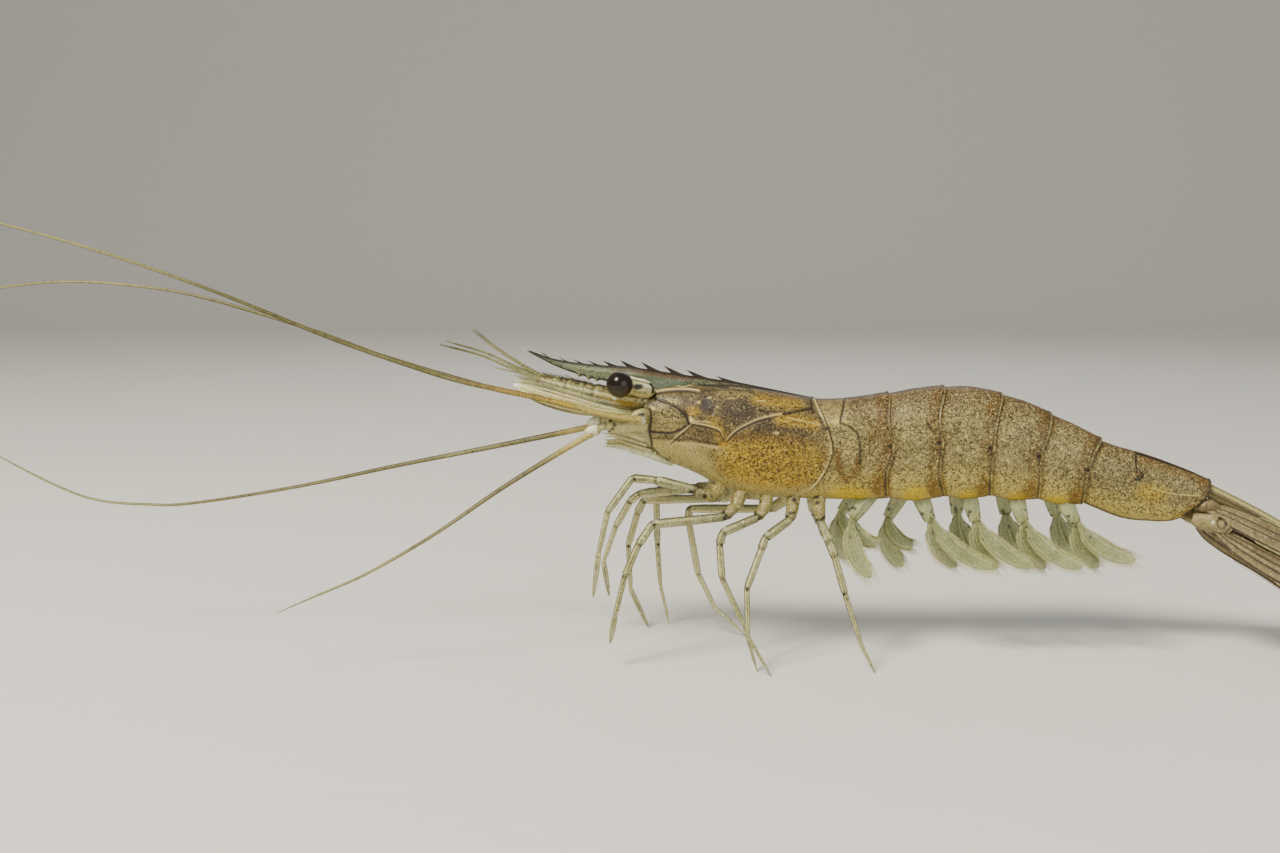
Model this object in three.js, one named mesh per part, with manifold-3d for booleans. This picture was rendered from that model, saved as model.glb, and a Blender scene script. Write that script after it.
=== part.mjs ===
// A marine prawn standing on the sea floor, at life size, as one still model.
// Units are millimetres. The head points to -X, +Z is up, and the left side is -Y.
// The shell is a row of rigid plates (carapace, six abdominal somites, telson), and
// every limb and feeler is a separate closed solid that starts just clear of the plate
// that carries it. The finished group stands on z = 0, centred over its own footprint.
import * as THREE from "three";
import { mergeVertices } from "three/addons/utils/BufferGeometryUtils.js";
import Module from "manifold-3d";

const wasm = await Module();
wasm.setup();

// ---- driving dimensions ---------------------------------------------------------

const GAP = 0.3; // clearance between neighbouring solids
const FOOT = 0.45; // radius of the flat on the tip of a standing leg
const WHIP_TIP = 0.26; // radius at the tip of every long feeler
const EYE_RADIUS = 2.05;
const ROSTRUM_TIP = [-61.8, 49.7]; // x, z
const ROSTRUM_THICK = 1.2;
const BLADE_THICK = 0.6; // antennal scales, pleopods and uropods
const LEFT = -1; // sign of Y on each side
const RIGHT = 1;

// ---- small tools ----------------------------------------------------------------

const vec = (x, y, z) => new THREE.Vector3(x, y, z);
const lerp = THREE.MathUtils.lerp;

// A smooth curve through [x, value] pairs, flat beyond its ends.
function through(...knots) {
  const slope = (i) => {
    const a = knots[Math.max(i - 1, 0)];
    const b = knots[Math.min(i + 1, knots.length - 1)];
    return (b[1] - a[1]) / (b[0] - a[0]);
  };
  return (x) => {
    if (x <= knots[0][0]) return knots[0][1];
    const last = knots.length - 1;
    if (x >= knots[last][0]) return knots[last][1];
    let i = 0;
    while (x > knots[i + 1][0]) i++;
    const span = knots[i + 1][0] - knots[i][0];
    const t = (x - knots[i][0]) / span;
    const keep = 2 * t ** 3 - 3 * t ** 2 + 1;
    return (
      keep * knots[i][1] +
      (1 - keep) * knots[i + 1][1] +
      (t ** 3 - 2 * t ** 2 + t) * span * slope(i) +
      (t ** 3 - t ** 2) * span * slope(i + 1)
    );
  };
}

// Six times the signed volume tells which way the faces look.
function facesOut(geometry) {
  const p = geometry.attributes.position;
  const index = geometry.index.array;
  const a = vec(0, 0, 0);
  const b = vec(0, 0, 0);
  const c = vec(0, 0, 0);
  let sum = 0;
  for (let i = 0; i < index.length; i += 3) {
    a.fromBufferAttribute(p, index[i]);
    b.fromBufferAttribute(p, index[i + 1]);
    c.fromBufferAttribute(p, index[i + 2]);
    sum += a.dot(b.cross(c));
  }
  return sum > 0;
}

// Merges shared corners and turns the faces outwards.
function closed(geometry) {
  geometry.deleteAttribute("normal");
  geometry.deleteAttribute("uv");
  const merged = mergeVertices(geometry, 1e-4);
  if (!facesOut(merged)) {
    const index = merged.index.array;
    for (let i = 0; i < index.length; i += 3) {
      [index[i + 1], index[i + 2]] = [index[i + 2], index[i + 1]];
    }
  }
  return merged;
}

// Reshapes a capped cylinder: place(k, u, v) gives the point of ring k that lies at
// (u, v) on the unit circle, or at its middle (0, 0) for the two caps.
function rings(sides, count, place) {
  const geometry = new THREE.CylinderGeometry(1, 1, 1, sides, count - 1);
  const p = geometry.attributes.position;
  for (let i = 0; i < p.count; i++) {
    const k = Math.round((0.5 - p.getY(i)) * (count - 1));
    const spot = place(k, p.getX(i), p.getZ(i));
    p.setXYZ(i, spot.x, spot.y, spot.z);
  }
  return closed(geometry);
}

function toManifold(geometry) {
  return new wasm.Manifold(
    new wasm.Mesh({
      numProp: 3,
      vertProperties: geometry.attributes.position.array,
      triVerts: new Uint32Array(geometry.index.array),
    }),
  );
}

// One limb from pieces that run into each other, cut back to just clear of the trunk.
function grownFromTrunk(...geometries) {
  const solid = geometries.map(toManifold).reduce((sum, piece) => sum.add(piece));
  const mesh = solid.subtract(clearOfTrunk).getMesh();
  return new THREE.BufferGeometry()
    .setAttribute("position", new THREE.BufferAttribute(mesh.vertProperties, 3))
    .setIndex(new THREE.BufferAttribute(mesh.triVerts, 1));
}

// The directions along and across a route of points, without twist.
function routeFrames(points) {
  return points.map((point, k) => {
    const before = points[Math.max(k - 1, 0)];
    const after = points[Math.min(k + 1, points.length - 1)];
    const along = after.clone().sub(before).normalize();
    const side = along.clone().cross(vec(0, 1, 0)).normalize();
    return { point, along, side, up: side.clone().cross(along).normalize() };
  });
}

// A round limb through points, with a radius at each. A standing foot ends level.
function limb(points, radii, sides, standing = false) {
  const frames = routeFrames(points);
  if (standing) {
    Object.assign(frames[frames.length - 1], { side: vec(1, 0, 0), up: vec(0, 1, 0) });
    if (frames[frames.length - 1].side.dot(frames[frames.length - 2].side) < 0) {
      frames[frames.length - 1].side.negate();
      frames[frames.length - 1].up.negate();
    }
  }
  return rings(sides, points.length, (k, u, v) =>
    frames[k].point
      .clone()
      .addScaledVector(frames[k].side, u * radii[k])
      .addScaledVector(frames[k].up, v * radii[k]),
  );
}

// A thin leaf along a curve. wide(t) is its half width along the direction across,
// thick its greatest thickness, and cup how far its edges drop below its middle line.
function blade(curve, across, wide, thick, { facets = 8, count = 8, cup = 0 } = {}) {
  const spread = across.clone().normalize();
  return rings(facets, count, (k, u, v) => {
    const t = k / (count - 1);
    const along = curve.getTangent(t);
    const face = along.clone().cross(spread).normalize();
    const edge = face.clone().cross(along).normalize();
    const half = wide(t);
    const body = (thick / 2) * Math.min(1, half / thick);
    return curve
      .getPoint(t)
      .addScaledVector(edge, u * half)
      .addScaledVector(face, v * body - cup * u * u * half);
  });
}

// Lays whatever reaches below the floor on it, as a small flat.
function onFloor(geometry) {
  const p = geometry.attributes.position;
  for (let i = 0; i < p.count; i++) p.setZ(i, Math.max(p.getZ(i), 0));
  return geometry;
}

const curveOf = (points) => new THREE.CatmullRomCurve3(points.map((p) => vec(...p)));

// ---- shell colours --------------------------------------------------------------

const finish = (color, roughness = 0.45, opacity = 1) =>
  new THREE.MeshStandardMaterial({
    color,
    roughness,
    metalness: 0,
    opacity,
    transparent: opacity < 1,
  });
const SHELL = finish("#a18a66");
const HEAD_SHELL = finish("#a98148");
const LIMB = finish("#b3a47f");
const FIN = finish("#b5ab88", 0.5, 0.8);
const TAIL = finish("#a2866c", 0.45, 0.9);
const EYE = finish("#1d1714", 0.12);
const WHIP = finish("#b39a72");

const group = new THREE.Group();

function add(name, geometry, material) {
  geometry.computeVertexNormals();
  const mesh = new THREE.Mesh(geometry, material);
  mesh.name = name;
  group.add(mesh);
  return mesh;
}

const sides = [
  ["left", LEFT],
  ["right", RIGHT],
];

// ---- body form: height, depth and width of the whole trunk ------------------------

// Dorsal line, lower rim of the plates and half width, each along X.
const topZ = through(
  [-42, 43.2], [-36, 43.9], [-30, 43.9], [-24, 43.3], [-18, 42.3], [-14, 41.7],
  [-9, 41.7], [-2, 42.7], [6, 43.6], [12, 43.2], [19, 41.1], [27, 37.4],
  [33, 34.4], [38, 32.8], [45, 30.2], [49, 28.4],
);
const rimZ = through(
  [-42, 32.6], [-38, 31.3], [-34, 29.7], [-29, 27.1], [-24, 26.1], [-19, 25.8],
  [-12, 26.2], [-3, 25.8], [5, 26.1], [13, 26.2], [21, 25.6], [28, 24.7],
  [34, 23.0], [38, 22.4], [43, 22.1], [49, 24.0],
);
const halfWidth = through(
  [-42, 4.3], [-37, 5.1], [-30, 6.1], [-22, 6.7], [-14, 6.4], [-8, 6.1], [2, 6.4],
  [12, 6.2], [22, 5.4], [30, 4.5], [38, 3.7], [45, 3.1], [49, 2.7],
);

const UPPER_ROUND = 0.92; // 1 is an ellipse, less is boxier
const LOWER_ROUND = 0.38;
const CARAPACE_END = -15; // where the first somite starts at the lower rim
const FACETS = 22; // around the trunk, the same for every plate so that joints match

// How far the belly is hollowed up between the two rims.
const bellyHollow = through([-42, 0.8], [-34, 1.4], [-24, 2.2], [34, 2.4], [43, 0.9]);
const HOLLOW_START = 0.96; // the part of the way down where the hollow begins

// The point of the trunk at station x and circle position (u, v), v = 1 on the back,
// moved outwards by grow.
function trunk(x, u, v, grow = 0) {
  const top = topZ(x) + grow;
  const rim = rimZ(x) - grow;
  const round = v > 0 ? UPPER_ROUND : LOWER_ROUND;
  const y = Math.sign(u) * (halfWidth(x) + grow) * Math.abs(u) ** round;
  const belly = bellyHollow(x) * THREE.MathUtils.smoothstep(-v, HOLLOW_START, 1);
  return vec(x, y, lerp(rim, top, (v + 1) / 2) + belly);
}

// A plate between two edge lines, each a function of v that gives x. It swells by
// swell(t) along its length, t = 0 at the front, and its rim hangs by lobe in the middle.
function plate(front, rear, count, swell, lobe = 0) {
  return rings(FACETS, count, (k, u, v) => {
    const t = k / (count - 1);
    const spot = trunk(lerp(front(v), rear(v), t), u, v, swell(t));
    spot.z -= lobe * Math.sin(Math.PI * t) * THREE.MathUtils.smoothstep(-v, 0.3, 0.9);
    return spot;
  });
}

// A plate is tucked in at its front and stands proud at its rear, and each somite's
// rim hangs lower between its joints.
const TUCK = -0.25;
const PROUD = 0.2;
const LOBE = 0.35;

// What limbs are cut with, so that each starts clear of the plates.
const TRUNK_ENDS = [-42, 48];
const CUTTER_RINGS = 22;
const clearOfTrunk = toManifold(
  rings(FACETS, CUTTER_RINGS, (k, u, v) => {
    const x = lerp(...TRUNK_ENDS, k / (CUTTER_RINGS - 1));
    const lobe = LOBE * THREE.MathUtils.smoothstep(x, CARAPACE_END - 2, CARAPACE_END + 2);
    return trunk(x, u, v, 2 * GAP + lobe);
  }),
);

// ---- carapace and its rostrum -----------------------------------------------------

// Front and rear edges of the carapace: x at each height v, from -1 below to 1 on the back.
const carapaceFront = through(
  [-1, -37.8], [-0.9, -39.0], [-0.8, -40.0], [-0.65, -41.0], [-0.3, -41.5],
  [0.1, -41.6], [0.55, -42.2], [0.8, -40.4], [1, -40.6],
);
const carapaceRear = through([-1, -19.5], [-0.75, -15.4], [-0.1, -12.7], [0.4, -13.1], [1, -14.9]);
add("carapace", plate(carapaceFront, carapaceRear, 12, () => 0), HEAD_SHELL);

// The rostrum is a thin upright blade. Its rear half is a crest that rides just over
// the back of the carapace. Each tooth is [x of its point, height above the edge].
const rostrumTop = through(
  ROSTRUM_TIP, [-56.5, 48.0], [-50, 47.1], [-44, 46.6], [-38, 45.7], [-32, 44.9],
  [-25, 43.95], [-20, 43.1],
);
const rostrumLow = through(
  ROSTRUM_TIP, [-59.4, 48.3], [-56, 46.6], [-52, 45.2], [-48, 44.3], [-43, 43.6], [-41.5, 43.6],
);
const TOP_TEETH = [
  [-59.0, 0.2], [-56.4, 0.4], [-54.2, 0.45], [-51.5, 0.55], [-49.0, 0.6],
  [-46.0, 0.9], [-42.6, 1.0], [-38.9, 1.0], [-35.2, 1.0], [-29.8, 0.7],
];
const LOW_TEETH = [
  [-52.8, 0.4], [-51.4, 0.45], [-50.0, 0.4],
];
const TOOTH_LENGTH = 2.0; // from a tooth's point back to the end of its base
const TOOTH_FRONT = 0.35; // how far its front edge starts behind its point
const CREST_END = -20.5;
const CREST_END_TALL = 0.25;
const LOW_TOOTH_BASE = 0.7;

function rostrum() {
  const shape = new THREE.Shape();
  shape.moveTo(...ROSTRUM_TIP);
  for (const [x, high] of TOP_TEETH) {
    shape.lineTo(x + TOOTH_FRONT, rostrumTop(x + TOOTH_FRONT));
    shape.lineTo(x, rostrumTop(x) + high);
    shape.lineTo(x + TOOTH_LENGTH, rostrumTop(x + TOOTH_LENGTH));
  }
  shape.lineTo(CREST_END, topZ(CREST_END) + GAP + CREST_END_TALL);
  shape.lineTo(CREST_END, topZ(CREST_END) + GAP);
  for (let x = -24; x >= -40; x -= 4) shape.lineTo(x, topZ(x) + GAP);
  shape.lineTo(-41.5, rostrumLow(-41.5));
  shape.lineTo(-45, rostrumLow(-45));
  for (const [x, deep] of [...LOW_TEETH].reverse()) {
    shape.lineTo(x + LOW_TOOTH_BASE, rostrumLow(x + LOW_TOOTH_BASE));
    shape.lineTo(x, rostrumLow(x) - deep);
  }
  for (const x of [-54, -56.5, -59.4]) shape.lineTo(x, rostrumLow(x));
  const geometry = new THREE.ExtrudeGeometry(shape, {
    depth: ROSTRUM_THICK,
    bevelEnabled: false,
  });
  geometry.rotateX(Math.PI / 2); // the outline's second axis becomes +Z
  geometry.translate(0, ROSTRUM_THICK / 2, 0);
  return closed(geometry);
}
add("rostrum", rostrum(), SHELL);

// ---- abdomen: six somites ---------------------------------------------------------

// The joint behind each plate: x at the back, at the side hinge and at the lower rim.
const JOINTS = [
  [-14.9, -12.7, -16.0],
  [-3.1, -3.0, -3.8],
  [5.8, 4.7, 5.6],
  [15.0, 12.8, 12.7],
  [22.9, 20.4, 20.3],
  [31.2, 28.1, 27.6],
  [49.1, 47.6, 43.4],
];
const jointLine = ([back, hinge, rim], shift) =>
  through([-1, rim + shift], [0, hinge + shift], [1, back + shift]);
for (let n = 1; n <= 6; n++) {
  const first = n === 1;
  const front = first ? (v) => carapaceRear(v) + 2 * GAP : jointLine(JOINTS[n - 1], GAP);
  const swell = (t) => lerp(first ? 0 : TUCK, PROUD, t);
  const ringCount = n === 6 ? 7 : 5; // the last somite is the longest
  add(`somite_${n}`, plate(front, jointLine(JOINTS[n], 0), ringCount, swell, LOBE), SHELL);
}

// ---- tail fan -----------------------------------------------------------------------

const TELSON_THICK = 1.5;
const telsonLine = curveOf([[49.0, 0, 26.6], [56, 0, 23.1], [62.5, 0, 19.6], [70.0, 0, 16.2]]);
const telsonWide = through([0, 2.3], [0.3, 2.1], [0.7, 1.3], [1, 0.25]);
add(
  "telson",
  blade(telsonLine, vec(0, 1, 0), telsonWide, TELSON_THICK, { count: 9, cup: 0.35 }),
  TAIL,
);

for (const [side, s] of sides) {
  const across = vec(0, s * 0.62, -0.78); // the blades hang outwards like a roof
  add(
    `uropod_base_${side}`,
    limb(
      [
        vec(46.4, s * 2.3, 21.5), vec(48.0, s * 2.9, 21.4),
        vec(49.6, s * 3.5, 21.0), vec(50.8, s * 3.9, 20.3),
      ],
      [1.1, 1.6, 1.5, 0.9],
      8,
    ),
    TAIL,
  );
  add(
    `uropod_inner_${side}`,
    blade(
      curveOf([[50.9, s * 2.9, 23.1], [56, s * 3.7, 20.8], [62.5, s * 4.4, 17.7], [71.5, s * 5.0, 13.4]]),
      across,
      through([0, 0.6], [0.25, 1.6], [0.6, 2.5], [0.85, 2.1], [1, 0.5]),
      BLADE_THICK,
      { count: 9, cup: 0.12 },
    ),
    TAIL,
  );
  add(
    `uropod_outer_${side}`,
    onFloor(
      blade(
        curveOf([
          [51.3, s * 4.7, 19.3], [56, s * 5.8, 16.6], [63, s * 7.2, 12.8],
          [70, s * 8.3, 7.9], [77.5, s * 9.0, 0.9],
        ]),
        across,
        through([0, 0.7], [0.2, 1.7], [0.5, 3.1], [0.8, 2.9], [0.94, 1.7], [1, 1.2]),
        BLADE_THICK,
        { count: 10, cup: 0.12 },
      ),
    ),
    TAIL,
  );
}

// ---- eyes ---------------------------------------------------------------------------

const EYE_PLACE = [-46.1, 5.4, 44.3]; // x, distance from the middle plane, z

for (const [side, s] of sides) {
  const [x, y, z] = EYE_PLACE;
  const ball = new THREE.SphereGeometry(EYE_RADIUS, 14, 8);
  ball.translate(x, s * y, z);
  add(`eye_${side}`, closed(ball), EYE);
  add(
    `eyestalk_${side}`,
    limb(
      [
        vec(-43.9, s * 4.5, 43.95), vec(-43.2, s * 4.0, 43.9),
        vec(-42.2, s * 3.2, 43.8), vec(-41.4, s * 2.4, 43.8),
      ],
      [1.05, 1.1, 0.9, 0.5],
      8,
    ),
    LIMB,
  );
}

// ---- feelers and the scales beside them ---------------------------------------------

// A whip thins from its root to its tip, fastest near the root.
const WHIP_TAPER = 0.5;
const ANTENNULE_WHIP_ROOT = 0.34;
function whip(points, root, count) {
  const curve = curveOf(points);
  const route = curve.getSpacedPoints(count - 1);
  const radii = route.map((_, k) => lerp(root, WHIP_TIP, (k / (count - 1)) ** WHIP_TAPER));
  return limb(route, radii, 5);
}

for (const [side, s] of sides) {
  // Three-jointed stalk of the antennule, below and between the eyes.
  add(
    `antennule_${side}`,
    limb(
      [
        vec(-42.4, s * 1.65, 41.2), vec(-46.5, s * 1.75, 41.8), vec(-50.2, s * 1.85, 42.6),
        vec(-50.7, s * 1.85, 42.7), vec(-54.6, s * 1.95, 43.7), vec(-55.1, s * 1.95, 43.8),
        vec(-58.8, s * 2.05, 44.8),
      ],
      [1.3, 1.35, 1.25, 1.0, 1.1, 0.85, 0.6],
      8,
    ),
    LIMB,
  );
  add(
    `antennule_flagellum_${side}`,
    whip(
      [[-59.1, s * 2.0, 45.0], [-63, s * 2.3, 46.5], [-68, s * 2.9, 48.7], [-74.4, s * 3.8, 50.5]],
      ANTENNULE_WHIP_ROOT,
      8,
    ),
    WHIP,
  );
  // The antennal scale, a stiff blade that reaches past the antennule.
  add(
    `scale_${side}`,
    blade(
      curveOf([
        [-43.2, s * 4.3, 39.5], [-46.0, s * 4.6, 39.7], [-49.2, s * 4.7, 40.2],
        [-52.6, s * 4.7, 40.9], [-56.0, s * 4.5, 41.8], [-59.4, s * 4.3, 42.9], [-62.8, s * 4.0, 44.2],
      ]),
      vec(0, s * 0.55, -0.83),
      through([0, 0.65], [0.15, 0.8], [0.3, 1.1], [0.5, 1.6], [0.75, 1.6], [0.9, 1.0], [1, 0.35]),
      BLADE_THICK,
      { count: 8 },
    ),
    FIN,
  );
}

// Upper pair of feelers: from under the scales, forward and up. Lower pair: each from
// a jointed stalk below them, the left one down to the floor and the right one level.
const UPPER_ROOT = 0.65;
const LOWER_ROOT = 0.6;
const FEELER_RINGS = 24;
const FEELERS = {
  antenna_upper_left: [
    UPPER_ROOT,
    [-43.6, -5.7, 38.9], [-46.4, -6.3, 39.3], [-49.6, -6.6, 40.0], [-54.4, -6.6, 41.3],
    [-59.6, -6.4, 42.5], [-64.7, -6.4, 43.6], [-70.9, -6.6, 45.0], [-77.1, -6.9, 46.9],
    [-90.3, -7.5, 51.6], [-109.9, -9.5, 59.8], [-129, -11.5, 66.5], [-156.5, -14.5, 74.1],
  ],
  antenna_upper_right: [
    UPPER_ROOT,
    [-43.6, 5.7, 38.9], [-46.4, 6.3, 39.2], [-49.6, 6.6, 39.6], [-54.9, 6.7, 40.5],
    [-60.5, 6.5, 41.4], [-67.1, 6.5, 42.5], [-84.7, 7.4, 47.6], [-98.1, 8.8, 52.3],
    [-116.6, 12, 57.4], [-128.5, 14, 59.2], [-140.4, 16, 59.8], [-153, 18.5, 58.7],
    [-164.6, 21, 56.5],
  ],
  antenna_lower_left: [
    LOWER_ROOT,
    [-51.5, -6.3, 36.1], [-57.5, -7.2, 32.6], [-64.7, -8.4, 28.2], [-75, -10, 21.3],
    [-85.2, -11.4, 15.5], [-93.4, -12.3, 12.0], [-99, -12.8, 9.6],
  ],
  antenna_lower_right: [
    LOWER_ROOT,
    [-51.7, 6.0, 36.1], [-66.2, 7.6, 32.9], [-83.3, 9.3, 29.3], [-100.5, 10.6, 25.5],
    [-117.9, 11.8, 22.5], [-126.7, 12.4, 22.0], [-138.4, 13.2, 23.3], [-152.8, 14.4, 30.0],
    [-158, 15, 34.0],
  ],
};
for (const [name, [root, ...points]] of Object.entries(FEELERS)) {
  add(name, whip(points, root, FEELER_RINGS), WHIP);
}
for (const [side, s] of sides) {
  add(
    `antenna_stalk_${side}`,
    limb(
      [
        vec(-42.9, s * 3.9, 37.6), vec(-44.6, s * 4.6, 37.7), vec(-46.4, s * 4.9, 37.7),
        vec(-48.0, s * 5.1, 37.8), vec(-48.6, s * 5.3, 37.7), vec(-49.4, s * 5.5, 37.4),
        vec(-50.2, s * 5.7, 37.1), vec(-51.0, s * 5.9, 36.8),
      ],
      [0.75, 0.85, 0.8, 0.85, 0.6, 0.6, 0.8, 0.6],
      8,
    ),
    LIMB,
  );
}

// ---- mouth --------------------------------------------------------------------------

// Rings of the bulge of small jaws from back to front: x, middle z, half width, half height.
const MOUTH_RINGS = [
  [-42.1, 36.5, 3.0, 2.3],
  [-43.3, 36.5, 3.0, 2.2],
  [-44.8, 36.6, 2.7, 1.9],
  [-46.2, 36.6, 2.0, 1.4],
  [-47.4, 36.3, 0.8, 0.6],
];
const bulge = rings(10, MOUTH_RINGS.length, (k, u, v) => {
  const [x, z, wide, tall] = MOUTH_RINGS[k];
  return vec(x, u * wide, z + v * tall);
});
add("mouthparts", bulge, LIMB);

const MAXILLIPED_STEPS = 6;
for (const [side, s] of sides) {
  const route = curveOf([
    [-40.0, s * 2.3, 32.5], [-42.9, s * 2.3, 33.4], [-45.4, s * 2.0, 34.1], [-48.2, s * 1.6, 34.3],
  ]).getSpacedPoints(MAXILLIPED_STEPS);
  const radii = route.map((_, k) => lerp(0.8, 0.3, k / MAXILLIPED_STEPS));
  add(`maxilliped_${side}`, limb(route, radii, 6), LIMB);
}

// ---- walking legs -------------------------------------------------------------------

// Each leg is hip, coxa end, ischium end, knee, carpus end, propodus end, and two
// points of the dactyl. Z counts up from the floor, and Y out from the middle plane.
const LEGS = {
  leg_1_left: [
    [-30.2, 3.4, 27.6], [-31.6, 4.6, 26.4], [-34.5, 6.2, 27.8], [-40.6, 8.0, 29.6],
    [-44.1, 9.0, 30.1], [-47.9, 10.0, 25.0], [-49.3, 10.5, 18.7], [-50.2, 11.0, 11.6],
  ],
  leg_2_left: [
    [-26.6, 3.6, 27.2], [-27.6, 4.7, 25.0], [-29.6, 6.2, 23.4], [-41.0, 10.0, 23.0],
    [-43.2, 10.7, 19.8], [-45.3, 11.0, 14.9], [-46.8, 10.5, 8.5], [-47.6, 10.0, 4.0],
  ],
  leg_3_left: [
    [-22.6, 3.6, 26.8], [-23.1, 4.7, 24.6], [-24.4, 5.8, 23.2], [-30.0, 9.0, 21.5],
    [-30.5, 9.4, 19.6], [-30.1, 10.2, 14.4], [-26.7, 11.5, 7.2], [-24.7, 12.2, 0],
  ],
  leg_4_left: [
    [-18.4, 3.6, 26.6], [-18.7, 4.7, 24.4], [-19.2, 5.5, 22.8], [-23.4, 9.2, 20.6],
    [-24.0, 9.9, 19.0], [-26.4, 12.4, 13.4], [-26.3, 14.0, 6.2], [-22.8, 14.6, 0],
  ],
  leg_5_left: [
    [-14.4, 3.4, 26.8], [-14.4, 4.4, 24.4], [-14.3, 5.2, 22.6], [-13.1, 7.4, 19.6],
    [-12.4, 8.4, 17.6], [-10.9, 10.2, 12.0], [-8.6, 12.0, 4.6], [-6.5, 12.8, 0],
  ],
  leg_1_right: [
    [-30.0, 3.4, 27.6], [-31.2, 4.5, 26.2], [-33.6, 5.6, 26.0], [-43.0, 7.0, 24.8],
    [-44.6, 7.6, 23.4], [-47.0, 8.8, 18.9], [-49.1, 10.2, 12.5], [-48.2, 11.5, 6.2],
  ],
  leg_2_right: [
    [-26.4, 3.6, 27.2], [-27.4, 4.9, 25.0], [-29.4, 6.4, 24.2], [-42.3, 10.5, 23.1],
    [-43.3, 11.0, 20.8], [-44.9, 12.0, 15.0], [-44.5, 13.0, 7.0], [-41.5, 13.6, 0],
  ],
  leg_3_right: [
    [-22.4, 3.6, 26.8], [-23.1, 5.4, 25.0], [-25.2, 7.8, 24.6], [-39.4, 12.5, 25.0],
    [-40.1, 13.0, 23.2], [-39.9, 14.0, 15.0], [-39.4, 15.0, 7.5], [-37.8, 15.8, 0],
  ],
  leg_4_right: [
    [-18.2, 3.6, 26.6], [-18.8, 5.0, 24.2], [-21.0, 6.4, 22.4], [-34.6, 9.0, 21.9],
    [-34.7, 9.3, 19.8], [-33.0, 9.8, 10.5], [-30.2, 9.4, 4.8], [-25.0, 8.0, 0],
  ],
  leg_5_right: [
    [-14.4, 3.4, 26.8], [-14.4, 4.6, 24.2], [-13.9, 6.2, 22.0], [-12.5, 8.8, 19.4],
    [-11.6, 9.8, 17.2], [-9.3, 12.0, 12.2], [-6.8, 14.0, 4.2], [-5.3, 14.4, 0],
  ],
};
const LEG_RADII = [1.15, 1.0, 0.88, 0.82, 0.74, 0.6, 0.42, 0.3];
const SEGMENT_RINGS = [0, 0.85]; // where each stout segment has a ring, along it
const STOUT_SEGMENTS = 5; // the ones after them, in the claw, are plain cones
const WAIST = 0.86; // a segment is this much thinner where it starts

for (const [name, joints] of Object.entries(LEGS)) {
  const s = name.endsWith("left") ? LEFT : RIGHT;
  const points = joints.map(([x, y, z]) => vec(x, s * y, z));
  const standing = points[points.length - 1].z === 0;
  const route = [];
  const radii = [];
  for (let i = 0; i < points.length - 1; i++) {
    for (const t of i < STOUT_SEGMENTS ? SEGMENT_RINGS : [0]) {
      route.push(points[i].clone().lerp(points[i + 1], t));
      radii.push(lerp(LEG_RADII[i], LEG_RADII[i + 1], t) * (t === 0 && i > 0 ? WAIST : 1));
    }
  }
  route.push(points[points.length - 1]);
  radii.push(standing ? FOOT : LEG_RADII[LEG_RADII.length - 1]);
  add(name, grownFromTrunk(limb(route, radii, 6, standing)), LIMB);
}

// ---- pleopods -----------------------------------------------------------------------

// Each pleopod is a stem from hip to knee and two leaves from the knee. Points are
// [x, z]; the outer leaf is the longer.
const PLEOPODS = {
  pleopod_1_left: { hip: [-5.6, 27.4], knee: [-9.0, 22.8], outer: [-6.0, 12.0], inner: [-4.2, 17.4] },
  pleopod_2_left: { hip: [1.4, 27.4], knee: [3.4, 22.4], outer: [14.3, 13.8], inner: [8.6, 13.2] },
  pleopod_3_left: { hip: [9.2, 27.6], knee: [10.6, 22.4], outer: [20.6, 14.0], inner: [15.2, 13.0] },
  pleopod_4_left: { hip: [16.8, 27.2], knee: [18.2, 22.2], outer: [28.2, 13.9], inner: [22.8, 12.9] },
  pleopod_5_left: { hip: [24.6, 26.0], knee: [26.6, 22.0], outer: [36.6, 15.2], inner: [31.4, 13.2] },
  pleopod_1_right: { hip: [-6.0, 27.4], knee: [-9.6, 22.4], outer: [-7.6, 12.2], inner: [-5.2, 16.8] },
  pleopod_2_right: { hip: [1.0, 27.4], knee: [-1.9, 21.4], outer: [1.4, 11.0], inner: [2.6, 15.6] },
  pleopod_3_right: { hip: [9.0, 27.6], knee: [9.4, 22.0], outer: [17.4, 12.6], inner: [12.8, 12.8] },
  pleopod_4_right: { hip: [16.6, 27.2], knee: [17.4, 22.0], outer: [26.2, 13.0], inner: [21.0, 12.4] },
  pleopod_5_right: { hip: [24.4, 26.0], knee: [25.8, 21.8], outer: [35.0, 13.8], inner: [29.8, 12.8] },
};
const HIP_Y = 2.5;
const KNEE_Y = 4.0;
const OUTER_TIP_Y = 6.2;
const INNER_TIP_Y = 3.0;
const LEAF_BOW = 1.4; // how far a leaf bows down and forward of its chord

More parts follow.
